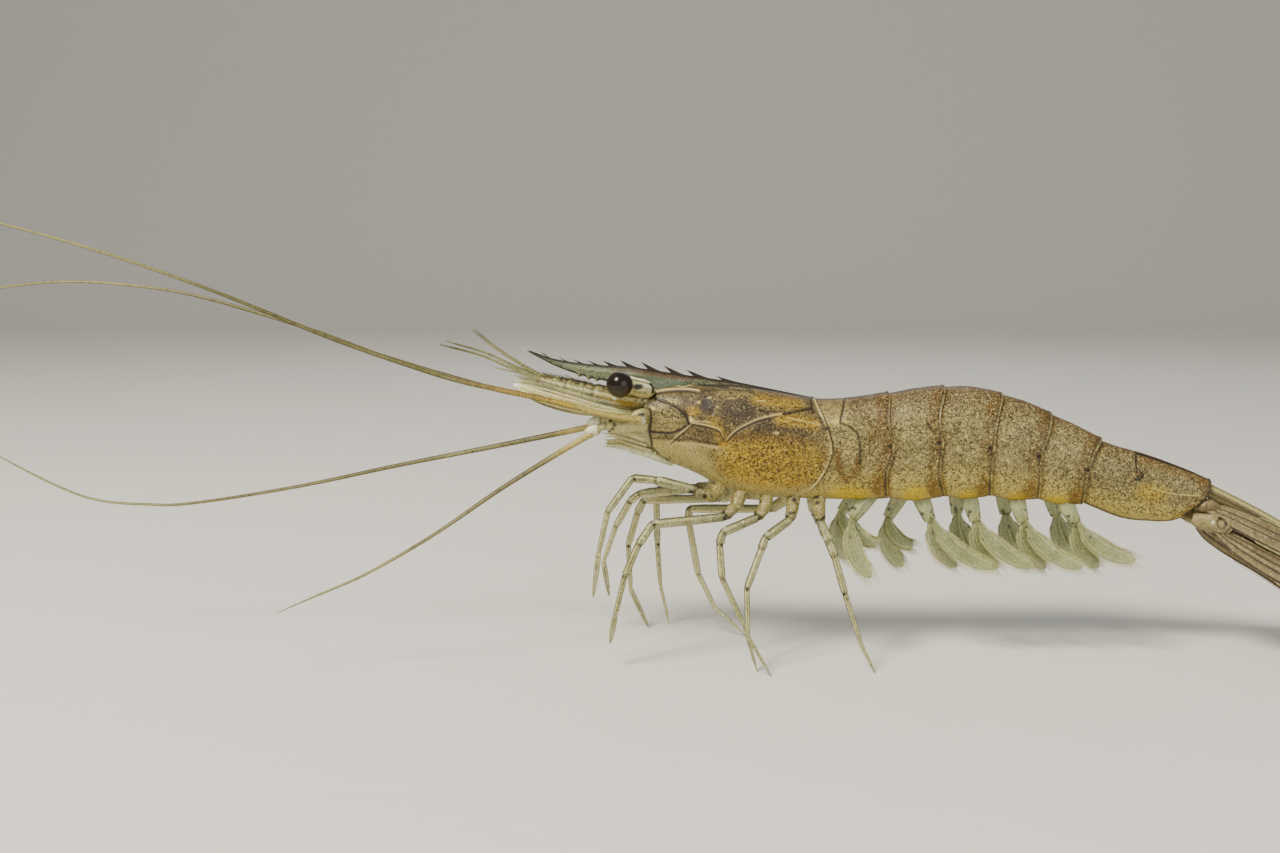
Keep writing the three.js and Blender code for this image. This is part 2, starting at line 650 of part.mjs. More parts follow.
function pleopod(s, { hip, knee, outer, inner }) {
  const stem = blade(
    curveOf([
      [hip[0], s * HIP_Y, hip[1]],
      [(hip[0] + knee[0]) / 2, s * (HIP_Y + 0.9), (hip[1] + knee[1]) / 2],
      [knee[0], s * KNEE_Y, knee[1]],
    ]),
    vec(1, 0, 0),
    through([0, 1.5], [0.5, 1.45], [1, 0.9]),
    1.5,
    { count: 3 },
  );
  const leaf = (tip, tipY, wide) => {
    const dx = tip[0] - knee[0];
    const dz = tip[1] - knee[1];
    const length = Math.hypot(dx, dz);
    const out = (t) => [
      knee[0] + dx * t + (dz / length) * LEAF_BOW * Math.sin(Math.PI * t),
      s * lerp(KNEE_Y, tipY, t),
      knee[1] + 0.5 + dz * t - (dx / length) * LEAF_BOW * Math.sin(Math.PI * t),
    ];
    return blade(
      curveOf([0, 0.3, 0.65, 1].map(out)),
      vec(1, 0, 0.3),
      through([0, 0.5], [0.35, wide], [0.7, wide * 0.85], [1, 0.3]),
      BLADE_THICK,
      { facets: 6, count: 5 },
    );
  };
  return grownFromTrunk(stem, leaf(outer, OUTER_TIP_Y, 1.6), leaf(inner, INNER_TIP_Y, 1.3));
}
for (const [name, form] of Object.entries(PLEOPODS)) {
  add(name, pleopod(name.endsWith("left") ? LEFT : RIGHT, form), FIN);
}

// ---- stand the model over its own footprint -------------------------------------------

const box = new THREE.Box3().setFromObject(group, true);
group.position.set(-(box.min.x + box.max.x) / 2, -(box.min.y + box.max.y) / 2, -box.min.z);

export default group;
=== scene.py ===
# A marine prawn, life size, standing on a pale studio floor.
# The sections follow the animal from the shell of its head back to the last plate, then
# the eyes, the feelers, the mouth, the walking legs, the swimming limbs and the tail fan.
# Lengths are in millimetres in the animal's own frame: head towards -X, +Z up, left
# side at -Y, x = 0 over the middle of the body and z = 0 on the floor.
import math
import random

import bpy
import numpy as np
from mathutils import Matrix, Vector


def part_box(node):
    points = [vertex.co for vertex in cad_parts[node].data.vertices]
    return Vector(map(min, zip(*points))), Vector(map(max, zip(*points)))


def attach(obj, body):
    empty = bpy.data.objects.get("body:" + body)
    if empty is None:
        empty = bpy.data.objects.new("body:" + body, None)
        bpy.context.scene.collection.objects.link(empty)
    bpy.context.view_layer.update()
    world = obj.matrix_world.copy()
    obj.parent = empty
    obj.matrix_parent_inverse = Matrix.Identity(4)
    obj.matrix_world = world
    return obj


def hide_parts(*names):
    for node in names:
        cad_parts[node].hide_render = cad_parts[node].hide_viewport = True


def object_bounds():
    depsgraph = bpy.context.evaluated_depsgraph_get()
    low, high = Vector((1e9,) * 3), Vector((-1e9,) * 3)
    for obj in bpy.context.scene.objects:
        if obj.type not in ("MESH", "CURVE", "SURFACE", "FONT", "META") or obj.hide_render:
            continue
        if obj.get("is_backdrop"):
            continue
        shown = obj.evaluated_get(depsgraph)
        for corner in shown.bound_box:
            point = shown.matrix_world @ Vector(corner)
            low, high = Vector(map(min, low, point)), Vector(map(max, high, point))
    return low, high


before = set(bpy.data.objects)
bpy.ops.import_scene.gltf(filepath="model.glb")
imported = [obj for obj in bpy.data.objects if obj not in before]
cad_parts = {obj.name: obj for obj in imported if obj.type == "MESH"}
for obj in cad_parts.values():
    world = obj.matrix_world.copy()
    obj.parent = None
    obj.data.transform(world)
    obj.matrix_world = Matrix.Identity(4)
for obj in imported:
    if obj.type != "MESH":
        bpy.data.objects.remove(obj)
cad_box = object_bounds()

# ---- Studio ------------------------------------------------------------------------
# A camera at the prawn's eye level, a little above it, looking square at its left side.
# A matt paper sweep lies under and behind it. Soft boxes hang over it, in front and
# behind, and pale air fills the shadows.

MM = 0.001  # a millimetre in metres
EYE_CENTRE = Vector((-46.1, -5.4, 44.3))  # the left eye in the animal's frame
eye_low, eye_high = (Vector(corner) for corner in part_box("eye_left"))
shift = (eye_low + eye_high) / 2 - EYE_CENTRE * MM


def metres(points):
    """Points in the animal's millimetres, as metres in the row's frame."""
    return np.asarray(points, float) * MM + np.array(shift)


def hex_linear(text):
    """An sRGB hex colour as linear red, green, blue and full alpha."""
    values = [int(text[i : i + 2], 16) / 255 for i in (1, 3, 5)]
    linear = [v / 12.92 if v <= 0.04045 else ((v + 0.055) / 1.055) ** 2.4 for v in values]
    return (*linear, 1.0)


def node(material, kind, inputs=None, ramp=(), **settings):
    """Adds a shader node with its own settings, its sockets' values or links, and the
    stops of its colour ramp."""
    new = material.node_tree.nodes.new("ShaderNode" + kind)
    for key, value in settings.items():
        setattr(new, key, value)
    for key, value in (inputs or {}).items():
        if isinstance(value, bpy.types.NodeSocket):
            material.node_tree.links.new(value, new.inputs[key])
        else:
            new.inputs[key].default_value = value
    for stop, (place, shade) in enumerate(ramp):
        new.color_ramp.elements[stop].position = place
        new.color_ramp.elements[stop].color = (shade, shade, shade, 1)
    return new


def mix(material, share, first, second):
    """Blends two colours, each a fixed one or a socket. On the node, 0 is the share of
    the second colour, 6 and 7 are the colours, and output 2 is the blend."""
    return node(material, "Mix", {0: share, 6: first, 7: second}, data_type="RGBA").outputs[2]


def new_material(name):
    """A material with no nodes yet."""
    material = bpy.data.materials.new(name)
    material.use_nodes = True
    material.node_tree.nodes.clear()
    return material


def finish_material(material, shader):
    """Joins the shader to the material's output."""
    node(material, "OutputMaterial", {"Surface": shader.outputs[0]})
    return material


CAMERA_PLACE = (-42.9, -227.1, 66.0)
CAMERA_DOWN = 7.274  # how many degrees it looks down
camera_data = bpy.data.cameras.new("camera")
camera_data.lens = 40
camera_data.sensor_width = 36
camera_data.clip_start = 0.01
camera = bpy.data.objects.new("camera", camera_data)
bpy.context.collection.objects.link(camera)
camera.location = metres(CAMERA_PLACE)
camera.rotation_euler = (math.radians(90 - CAMERA_DOWN), 0, 0)
bpy.context.scene.camera = camera

# Uncoated paper: fine fibres, no gloss. It reads as a plain pale ground.
paper = new_material("matt_uncoated_paper")
fibres = node(paper, "TexNoise", {"Scale": 900.0, "Detail": 3.0})
tone = mix(paper, fibres.outputs["Fac"], hex_linear("#d8d4ca"), hex_linear("#dedad1"))
paper_skin = node(paper, "BsdfPrincipled", {"Base Color": tone, "Roughness": 0.9, "IOR": 1.45})
finish_material(paper, paper_skin)

SWEEP_HALF = 3000  # half its width
SWEEP_FRONT = -1500  # y of its front edge
SWEEP_BEND = 900  # y where it starts to curve up
SWEEP_RADIUS = 700
SWEEP_TOP = 2600
BEND_STEPS = 24
profile = [(SWEEP_FRONT, 0), (SWEEP_BEND, 0)]
for step in range(1, BEND_STEPS + 1):
    turn = math.pi / 2 * step / BEND_STEPS
    bend_y = SWEEP_BEND + SWEEP_RADIUS * math.sin(turn)
    profile.append((bend_y, SWEEP_RADIUS * (1 - math.cos(turn))))
profile.append((SWEEP_BEND + SWEEP_RADIUS, SWEEP_TOP))
sweep_points = [(x, y, z) for y, z in profile for x in (-SWEEP_HALF, SWEEP_HALF)]
sweep_faces = [(2 * i, 2 * i + 1, 2 * i + 3, 2 * i + 2) for i in range(len(profile) - 1)]
sweep_mesh = bpy.data.meshes.new("paper_sweep")
sweep_mesh.from_pydata((np.array(sweep_points) * MM).tolist(), [], sweep_faces)
sweep_mesh.shade_smooth()
sweep_mesh.materials.append(paper)
sweep = bpy.data.objects.new("paper_sweep", sweep_mesh)
bpy.context.collection.objects.link(sweep)
sweep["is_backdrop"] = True


def soft_box(name, place, target, size, power, colour):
    """A square area light at place, facing target, both in the animal's frame. Its size
    is in metres and its power in watts."""
    data = bpy.data.lights.new(name, "AREA")
    data.size = size
    data.energy = power
    data.color = hex_linear(colour)[:3]
    light = bpy.data.objects.new(name, data)
    bpy.context.collection.objects.link(light)
    light.location = metres(place)
    aim = Vector(metres(target)) - light.location
    light.rotation_euler = aim.to_track_quat("-Z", "Y").to_euler()


soft_box("key_light", (-330, -330, 600), (0, 0, 25), size=0.22, power=9.0, colour="#fff8ec")
soft_box("fill_light", (420, -520, 180), (10, 0, 25), size=0.6, power=2.5, colour="#eef4f6")
soft_box("back_light", (60, 520, 420), (0, 0, 30), size=0.4, power=0.5, colour="#f4fbff")
world = bpy.data.worlds.new("studio_air")
bpy.context.scene.world = world
world.use_nodes = True
air = world.node_tree.nodes["Background"].inputs
air["Color"].default_value = hex_linear("#e9ecec")
air["Strength"].default_value = 0.5

# ---- Carapace ----------------------------------------------------------------------
# The shell over head and gills is one thin plate of chitin, closed over the back and
# open below, with grooves and low ridges where muscles fix to it. It is see-through
# enough for the golden gills to show, and peppered with pigment cells.


def through(*knots):
    """A smooth curve through (x, value) pairs, flat beyond its ends."""
    xs, ys = np.array(knots, float).T
    last = len(xs) - 1
    before = np.maximum(np.arange(last + 1) - 1, 0)
    after = np.minimum(np.arange(last + 1) + 1, last)
    slopes = (ys[after] - ys[before]) / (xs[after] - xs[before])

    def curve(x):
        x = np.clip(x, xs[0], xs[-1])
        i = np.clip(np.searchsorted(xs, x, side="right") - 1, 0, last - 1)
        span = xs[i + 1] - xs[i]
        t = (x - xs[i]) / span
        keep = 2 * t**3 - 3 * t**2 + 1
        bend = (t**3 - 2 * t**2 + t) * span * slopes[i] + (t**3 - t**2) * span * slopes[i + 1]
        return keep * ys[i] + (1 - keep) * ys[i + 1] + bend

    return curve


def ease(value, low_end, high_end):
    """0 below low_end, 1 above high_end, and smooth between."""
    t = np.clip((value - low_end) / (high_end - low_end), 0, 1)
    return t * t * (3 - 2 * t)


back_z = through(
    (-42, 43.2), (-36, 43.9), (-30, 43.9), (-24, 43.3), (-18, 42.3), (-14, 41.7), (-9, 41.7),
    (-2, 42.7), (6, 43.6), (12, 43.2), (19, 41.1), (27, 37.4), (33, 34.4), (38, 32.8),
    (45, 30.2), (49, 28.4),
)  # fmt: skip
rim_z = through(
    (-42, 32.6), (-38, 31.3), (-34, 29.7), (-29, 27.1), (-24, 26.1), (-19, 25.8), (-12, 26.2),
    (-3, 25.8), (5, 26.1), (13, 26.2), (21, 25.6), (28, 24.7), (34, 23.0), (38, 22.4),
    (43, 22.1), (49, 24.0),
)  # fmt: skip
half_width = through(
    (-42, 4.3), (-37, 5.1), (-30, 6.1), (-22, 6.7), (-14, 6.4), (-8, 6.1), (2, 6.4),
    (12, 6.2), (22, 5.4), (30, 4.5), (38, 3.7), (45, 3.1), (49, 2.7),
)  # fmt: skip
belly_rise = through((-42, 0.8), (-34, 1.4), (-24, 2.2), (34, 2.4), (43, 0.9))
UPPER_ROUND = 0.92  # 1 is an ellipse, less is boxier
LOWER_ROUND = 0.38
HOLLOW_START = 0.96  # how far down the side the hollow under the belly begins


def trunk(x, angle, grow):
    """The trunk's surface at x, angle 0 on the back and pi under the belly, moved out
    by grow. The belly is hollowed up between the two rims of the shell."""
    u, v = np.sin(angle), np.cos(angle)
    top = back_z(x) + grow
    rim = rim_z(x) - grow
    boxy = np.abs(u) ** np.where(v > 0, UPPER_ROUND, LOWER_ROUND)
    y = np.sign(u) * (half_width(x) + grow) * boxy
    z = rim + (top - rim) * (v + 1) / 2 + belly_rise(x) * ease(-v, HOLLOW_START, 1)
    return np.stack(np.broadcast_arrays(x, y, z), -1)


def unit(vectors):
    """The vectors at length 1."""
    return vectors / (np.linalg.norm(vectors, axis=-1, keepdims=True) + 1e-12)


def outward(P):
    """Unit normals of a wrapped grid of points, turned away from its middle line."""
    normal = unit(np.cross(np.roll(P, -1, 1) - np.roll(P, 1, 1), np.gradient(P, axis=0)))
    away = P - P.mean(axis=1, keepdims=True)
    return normal * np.sign((normal * away).sum(-1, keepdims=True) + 1e-12)


class Form:
    """A mesh being made: points in the animal's millimetres, faces, and marks, which
    are named surface values between 0 and 1 that its material paints with."""

    def __init__(self):
        self.points, self.faces, self.marks, self.count = [], [], {}, 0

    def ring_skin(self, P, marks=None):
        """Adds one closed skin over rings of points, one ring in each row of P. marks
        gives the values of some marks on it, and the others are 0 there."""
        rows, columns = P.shape[:2]
        here = np.arange(columns)
        after = (here + 1) % columns
        foot = np.arange(rows - 1)[:, None] * columns
        quads = np.stack([foot + here, foot + after, foot + after + columns, foot + here + columns], -1)
        quads = quads.reshape(-1, 4)
        points = np.vstack([P.reshape(-1, 3), P[0].mean(0), P[-1].mean(0)])
        end = (rows - 1) * columns
        front = np.stack([after, here, 0 * here + end + columns], -1)
        back = np.stack([end + here, end + after, 0 * here + end + columns + 1], -1)
        corners = np.vstack([quads[:, [0, 1, 2]], quads[:, [0, 2, 3]], front, back])
        a, b, c = np.moveaxis((points - points.mean(0))[corners], 1, 0)
        turn = 1 if (a * np.cross(b, c)).sum() > 0 else -1
        for faces in (quads, front, back):
            self.faces += (faces[:, ::turn] + self.count).tolist()
        for name in set(self.marks) | set(marks or {}):
            value = np.clip(np.broadcast_to((marks or {}).get(name, 0.0), (rows, columns)), -1, 1)
            flat = np.concatenate([value.reshape(-1), [value[0].mean(), value[-1].mean()]])
            self.marks.setdefault(name, [np.zeros(self.count)]).append(flat)
        self.points.append(points)
        self.count += len(points)

    def make(self, name, material, slot, *replaced, unwrap=None):
        """The finished piece, in place of its plain solids. unwrap gives each point's
        place on the map that fine bristles are coloured by."""
        mesh = bpy.data.meshes.new(name)
        mesh.from_pydata(metres(np.vstack(self.points)).tolist(), [], self.faces)
        for mark, parts in self.marks.items():
            values = np.concatenate(parts).astype(np.float32)
            mesh.attributes.new(mark, "FLOAT", "POINT").data.foreach_set("value", values)
        if unwrap is not None:
            corners = np.zeros(len(mesh.loops), np.int32)
            mesh.loops.foreach_get("vertex_index", corners)
            layer = mesh.uv_layers.new(name="OFBake")
            layer.data.foreach_set("uv", np.asarray(unwrap, np.float32)[corners].reshape(-1))
        mesh.shade_smooth()
        mesh.materials.append(material)
        piece = bpy.data.objects.new(name, mesh)
        bpy.context.collection.objects.link(piece)
        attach(piece, "root")
        if replaced:
            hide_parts(*replaced)
        return piece


def band(value, at, width, power=2):
    """1 where value is at, fading out over width. A higher power squares it off."""
    return np.exp(-(((value - at) / width) ** power))


def near(X, Z, line, width):
    """1 on a line drawn across the flank, fading out over width."""
    best = np.full(np.shape(X), 1e9)
    for (x0, z0), (x1, z1) in zip(line, line[1:]):
        dx, dz = x1 - x0, z1 - z0
        t = np.clip(((X - x0) * dx + (Z - z0) * dz) / (dx * dx + dz * dz), 0, 1)
        best = np.minimum(best, (X - x0 - t * dx) ** 2 + (Z - z0 - t * dz) ** 2)
    return np.exp(-((best / width**2) ** 1.5))


def spot(X, Z, x, z, rx, rz, edge=2.0):
    """1 inside an oval on the flank. A lower edge makes its border softer."""
    return np.exp(-((((X - x) / rx) ** 2 + ((Z - z) / rz) ** 2) ** edge))


def strokes(X, Z, *lines):
    """Lines drawn across the flank, each given as its strength, points and width."""
    return [strength * near(X, Z, line, width) for strength, line, width in lines]


def dots(X, Z, *ovals):
    """Ovals drawn on the flank, each given as its strength and what spot asks for."""
    return [strength * spot(X, Z, *oval) for strength, *oval in ovals]


ROUNDED_STEPS = 6  # points for each piece of a smoothed line


def rounded(*line):
    """A line's corners smoothed to a curve through the same points."""
    place = np.arange(len(line))
    fine = np.linspace(0, len(line) - 1, ROUNDED_STEPS * (len(line) - 1) + 1)
    return np.stack([through(*zip(place, column))(fine) for column in np.array(line, float).T], -1)


GIRTH_RADIUS = 7.4  # a circle of this radius is about as long as the widest section
RIDGE_HEIGHT = 0.13
GROOVE_DEPTH = 0.12
LIP_WIDTH = 0.25
BELLY_SEAM = (-0.995, -0.97)  # heights over which relief and colour fade in from below
TURNED_IN = ((0.05, 0.15), (0.6, 0.5))  # each step of a plate's edge: back, and inward


def plate(front, rear, spacing, swell, lobe, paint, lip):
    """The form of one shell plate from its front line to its rear line, each giving x
    from v, the height on the section from -1 under the belly to 1 on the back. Points
    lie spacing apart, swell(t) is how far it stands off the trunk from front to rear,
    lobe is how far its rim hangs down, and lip how far its rear edge stands up."""
    columns = int(2 * math.pi * GIRTH_RADIUS / spacing)
    angle = np.linspace(-math.pi, math.pi, columns, endpoint=False)[None, :]
    v = np.cos(angle)
    start, end = front(v), rear(v)
    t = np.linspace(0, 1, int(float(np.max(end - start)) / spacing))[:, None]
    x = start + (end - start) * t
    P = trunk(x, angle, swell(t))
    V = np.broadcast_to(v, x.shape)
    P[..., 2] -= lobe * np.sin(math.pi * t) * ease(-V, 0.3, 0.9)
    marks = paint(P[..., 0], P[..., 2], V, x - start, end - x)
    shown = ease(V, *BELLY_SEAM)
    raised = RIDGE_HEIGHT * np.clip(marks["ridge"], 0, 1)
    lift = raised - GROOVE_DEPTH * np.clip(marks["groove"], 0, 1) + lip * band(end, x, LIP_WIDTH)
    P = P + outward(P) * (lift * shown)[..., None]
    marks = {key: value * (0.3 + 0.7 * shown) for key, value in marks.items()}
    ends = []
    for line, way, size in ((start, 1, float(swell(0.0))), (end, -1, float(swell(1.0)))):
        ends.append([trunk(line + way * back, angle, size - inward) for back, inward in TURNED_IN])
    P = np.concatenate([*ends[0][::-1], P, *ends[1]])
    form = Form()
    form.ring_skin(P, {key: np.pad(value, ((2, 2), (0, 0)), "edge") for key, value in marks.items()})
    return form


GRAIN_SIZE = 0.32  # of the fine relief and shading that all cuticle has
GRAIN_RELIEF = 0.5  # how strongly it shows
GRAIN_HEIGHT = 0.12


def mark_value(material, mark):
    """The socket that gives a mark of the mesh."""
    return node(material, "Attribute", attribute_name=mark).outputs["Fac"]


def cuticle(
    name, base, second, patch=3.0, specks=(), tints=(), roughness=0.45, alpha=1.0, flesh=0.08
):
    """Wet cuticle over flesh: satin and a little see-through. It is mottled in patches of
    two colours and has flecks: the dark ones are pigment cells run together, and the
    pale ones are painted highlights, small glints of light on the wet cuticle. Each kind
    of fleck is given as its size in millimetres, how much of the surface it covers (0 is
    half), how much the mark "pepper" adds to that, how strongly it covers, and its
    colour. tints are the marks it paints with, each with how strongly and in what colour:
    those whose colour starts with ~ lie under the flecks, the others over them."""
    m = new_material(name)
    place = node(m, "TexCoord").outputs["Object"]
    clouds = node(
        m,
        "TexNoise",
        {"Vector": place, "Scale": 1 / (patch * MM), "Detail": 5.0, "Roughness": 0.65, "Distortion": 0.6},
    )
    soft = node(m, "ValToRGB", {"Fac": clouds.outputs["Fac"]}, ramp=[(0.38, 0), (0.62, 1)])
    painted = [(mark_value(m, mark), strength, tint) for mark, strength, tint in tints]
    pepper = mark_value(m, "pepper")
    flecks = []
    for number, (size, cover, gain, strength, tint) in enumerate(specks):
        cells = node(
            m,
            "TexNoise",
            {
                "Vector": place,
                "W": 3.1 * number + 1,
                "Scale": 1 / (size * MM),
                "Detail": 1.5,
                "Distortion": 0.9,
            },
            noise_dimensions="4D",
        )
        more = node(m, "Math", {0: pepper, 1: gain, 2: cover}, operation="MULTIPLY_ADD")
        raised = node(m, "Math", {0: cells.outputs["Fac"], 1: more.outputs[0]}, operation="ADD")
        share = node(m, "MapRange", {0: raised.outputs[0], 1: 0.5, 2: 0.56, 3: 0.0, 4: 1.0})
        flecks.append((share.outputs[0], strength, tint))
    under = [entry for entry in painted if entry[2][0] == "~"]
    over = [entry for entry in painted if entry[2][0] != "~"]
    colour = hex_linear(base)
    for amount, strength, tint in [(soft.outputs["Color"], 1.0, second), *under, *flecks, *over]:
        share = node(m, "Math", {0: amount, 1: strength}, operation="MULTIPLY", use_clamp=True)
        colour = mix(m, share.outputs[0], colour, hex_linear(tint.strip("~")))
    grain = node(
        m, "TexNoise", {"Vector": place, "Scale": 1 / (GRAIN_SIZE * MM), "Detail": 3.0, "Roughness": 0.6}
    ).outputs["Fac"]
    shade = node(m, "MapRange", {0: grain, 1: 0.3, 2: 0.7, 3: 0.72, 4: 1.28})
    lit = node(m, "VectorMath", {0: colour, "Scale": shade.outputs[0]}, operation="SCALE")
    bump = node(m, "Bump", {"Height": grain, "Strength": GRAIN_RELIEF, "Distance": GRAIN_HEIGHT * MM})
    gloss = node(
        m, "MapRange", {0: clouds.outputs["Fac"], 1: 0.3, 2: 0.7, 3: roughness - 0.07, 4: roughness + 0.09}
    )
    skin = node(
        m,
        "BsdfPrincipled",
        {
            "Base Color": lit.outputs[0],
            "Roughness": gloss.outputs[0],
            "IOR": 1.35,
            "Alpha": alpha,
            "Subsurface Weight": flesh,
            "Subsurface Radius": (1.0, 0.7, 0.45),
            "Subsurface Scale": 0.2 * MM,
            "Coat Weight": 0.06,
            "Coat Roughness": 0.2,
            "Normal": bump.outputs[0],
        },
    )
    return finish_material(m, skin)


head_chitin = cuticle(
    "speckled_head_chitin", "#6e603a", "#554826",
    specks=(
        (0.4, -0.045, 0.09, 0.66, "#26180a"), (0.27, -0.04, 0.08, 1.0, "#251505"),
        # the pale flecks are painted highlights: glints of light on the wet shell
        (0.3, -0.1, 0.02, 0.4, "#c2b370"),
    ),
    tints=(
        ("dusk", 0.9, "~#2a231d"), ("dusk", 0.3, "#3a3121"), ("teal", 0.92, "~#344837"),
        ("gold", 0.94, "~#ab8a10"), ("gold", 0.1, "#b48a14"), ("umber", 0.85, "~#4a3010"),
        ("pale", 0.9, "~#998d51"), ("clear", 0.95, "~#798264"), ("rust", 0.85, "#5c2d29"),
        ("brown", 0.9, "#2c1a07"), ("ridge", 0.9, "#ccb876"), ("groove", 0.98, "#1c1107"),
    ),
)  # fmt: skip

carapace_front = through(
    (-1, -37.8), (-0.9, -39.0), (-0.8, -40.0), (-0.65, -41.0), (-0.3, -41.5), (0.1, -41.6),
    (0.55, -42.2), (0.8, -40.4), (1, -40.6),
)  # fmt: skip
carapace_rear = through((-1, -19.5), (-0.75, -15.4), (-0.1, -12.7), (0.4, -13.1), (1, -14.9))
# Lines of the shell, in x and z.
CERVICAL_GROOVE = rounded(
    (-41.9, 42.4), (-40.5, 42.0), (-39.1, 41.5), (-37.9, 41.0), (-36.6, 40.2), (-35.4, 38.7),
)  # fmt: skip
GROOVE_END = rounded((-36.0, 39.8), (-35.5, 39.0), (-35.2, 38.0))
FRONT_GROOVE = rounded(
    (-41.3, 40.3), (-41.2, 38.9), (-41.3, 37.7), (-41.4, 36.4), (-41.1, 35.3), (-41.0, 34.2),
    (-40.2, 33.3), (-39.6, 32.5), (-38.5, 32.1),
)  # fmt: skip
CELL_GROOVE = rounded((-41.3, 36.7), (-39.7, 36.6), (-37.9, 36.6), (-36.6, 37.1), (-35.6, 37.8))
CHEEK_WRINKLE = rounded((-39.4, 39.6), (-38.4, 39.0), (-37.5, 39.3), (-36.7, 38.9))
NODE_RIDGE = rounded((-38.0, 35.2), (-37.2, 36.0), (-36.0, 37.0), (-34.8, 38.1))
SIDE_RIDGE = rounded((-34.8, 38.3), (-33.5, 38.1), (-31.6, 37.7), (-30.4, 37.2), (-29.9, 36.1))
UPPER_RIDGE = rounded((-34.6, 38.5), (-33.3, 38.5), (-31.8, 38.4))
GILL_RIDGE = rounded(
    (-29.3, 35.7), (-28.1, 37.0), (-26.9, 37.8), (-24.7, 38.8), (-22.4, 39.4), (-20.7, 39.7),
)  # fmt: skip
HIND_GROOVE = rounded((-20.4, 39.7), (-19.5, 39.8), (-17.6, 40.2), (-15.6, 40.4))
HIND_STREAK = rounded((-19.7, 39.1), (-17.3, 38.6), (-14.6, 38.0))
REAR_TOP_GROOVE = rounded((-15.7, 42.3), (-15.7, 41.2), (-15.9, 39.3))
HEPATIC_RIDGE = rounded((-38.6, 35.0), (-36.6, 34.9), (-34.2, 34.9), (-31.2, 34.5), (-29.2, 34.0))
HEPATIC_GROOVE = rounded((-40.9, 35.7), (-37.2, 35.6), (-34.7, 35.6), (-32.5, 35.2), (-30.4, 34.9))
ORBITAL_RIDGE = rounded((-40.9, 42.7), (-39.4, 43.1), (-37.3, 43.3), (-35.0, 43.3), (-33.4, 43.1))
CREST_FOOT = rounded((-38.6, 43.65), (-37.1, 43.75), (-35.9, 43.6), (-34.3, 43.85), (-29.0, 43.3))
DORSAL_STREAK = rounded((-33.5, 43.1), (-29.5, 43.2), (-25.6, 43.0))
CREST_NICK = ((-25.9, 43.1), (-24.9, 42.8))
BACK_NICK = ((-24.0, 40.3), (-22.6, 39.8))
UPPER_GOLD = ((-24.5, 42.0), (-21.0, 41.5), (-18.0, 41.1))
HIND_GOLD = ((-21.0, 38.8), (-18.4, 38.7), (-15.6, 38.0))
GILL_FRONT_GOLD = ((-31.5, 38.9), (-30.4, 36.9), (-29.9, 35.0))
GILL_TOP_UMBER = ((-28.0, 36.2), (-24.5, 36.3), (-20.0, 36.1), (-16.5, 35.4))
BACK_UMBER = ((-24.5, 42.6), (-21.0, 42.2), (-17.0, 41.9))
BACK_DUSK = ((-29.6, 42.4), (-27.2, 41.8))
HIND_DUSK = ((-20.5, 37.0), (-17.2, 36.3))
CHEEK_PALE = ((-36.2, 34.6), (-32.8, 34.4), (-29.6, 33.6))
BACK_PALE = ((-30.5, 42.9), (-25.4, 42.6))
FINE = 0.2  # half width of a thin dark line on the shell
THIN = 0.12  # and of a pale one


def below(line, drop):
    """The same line, drop lower."""
    return [(x, z - drop) for x, z in line]


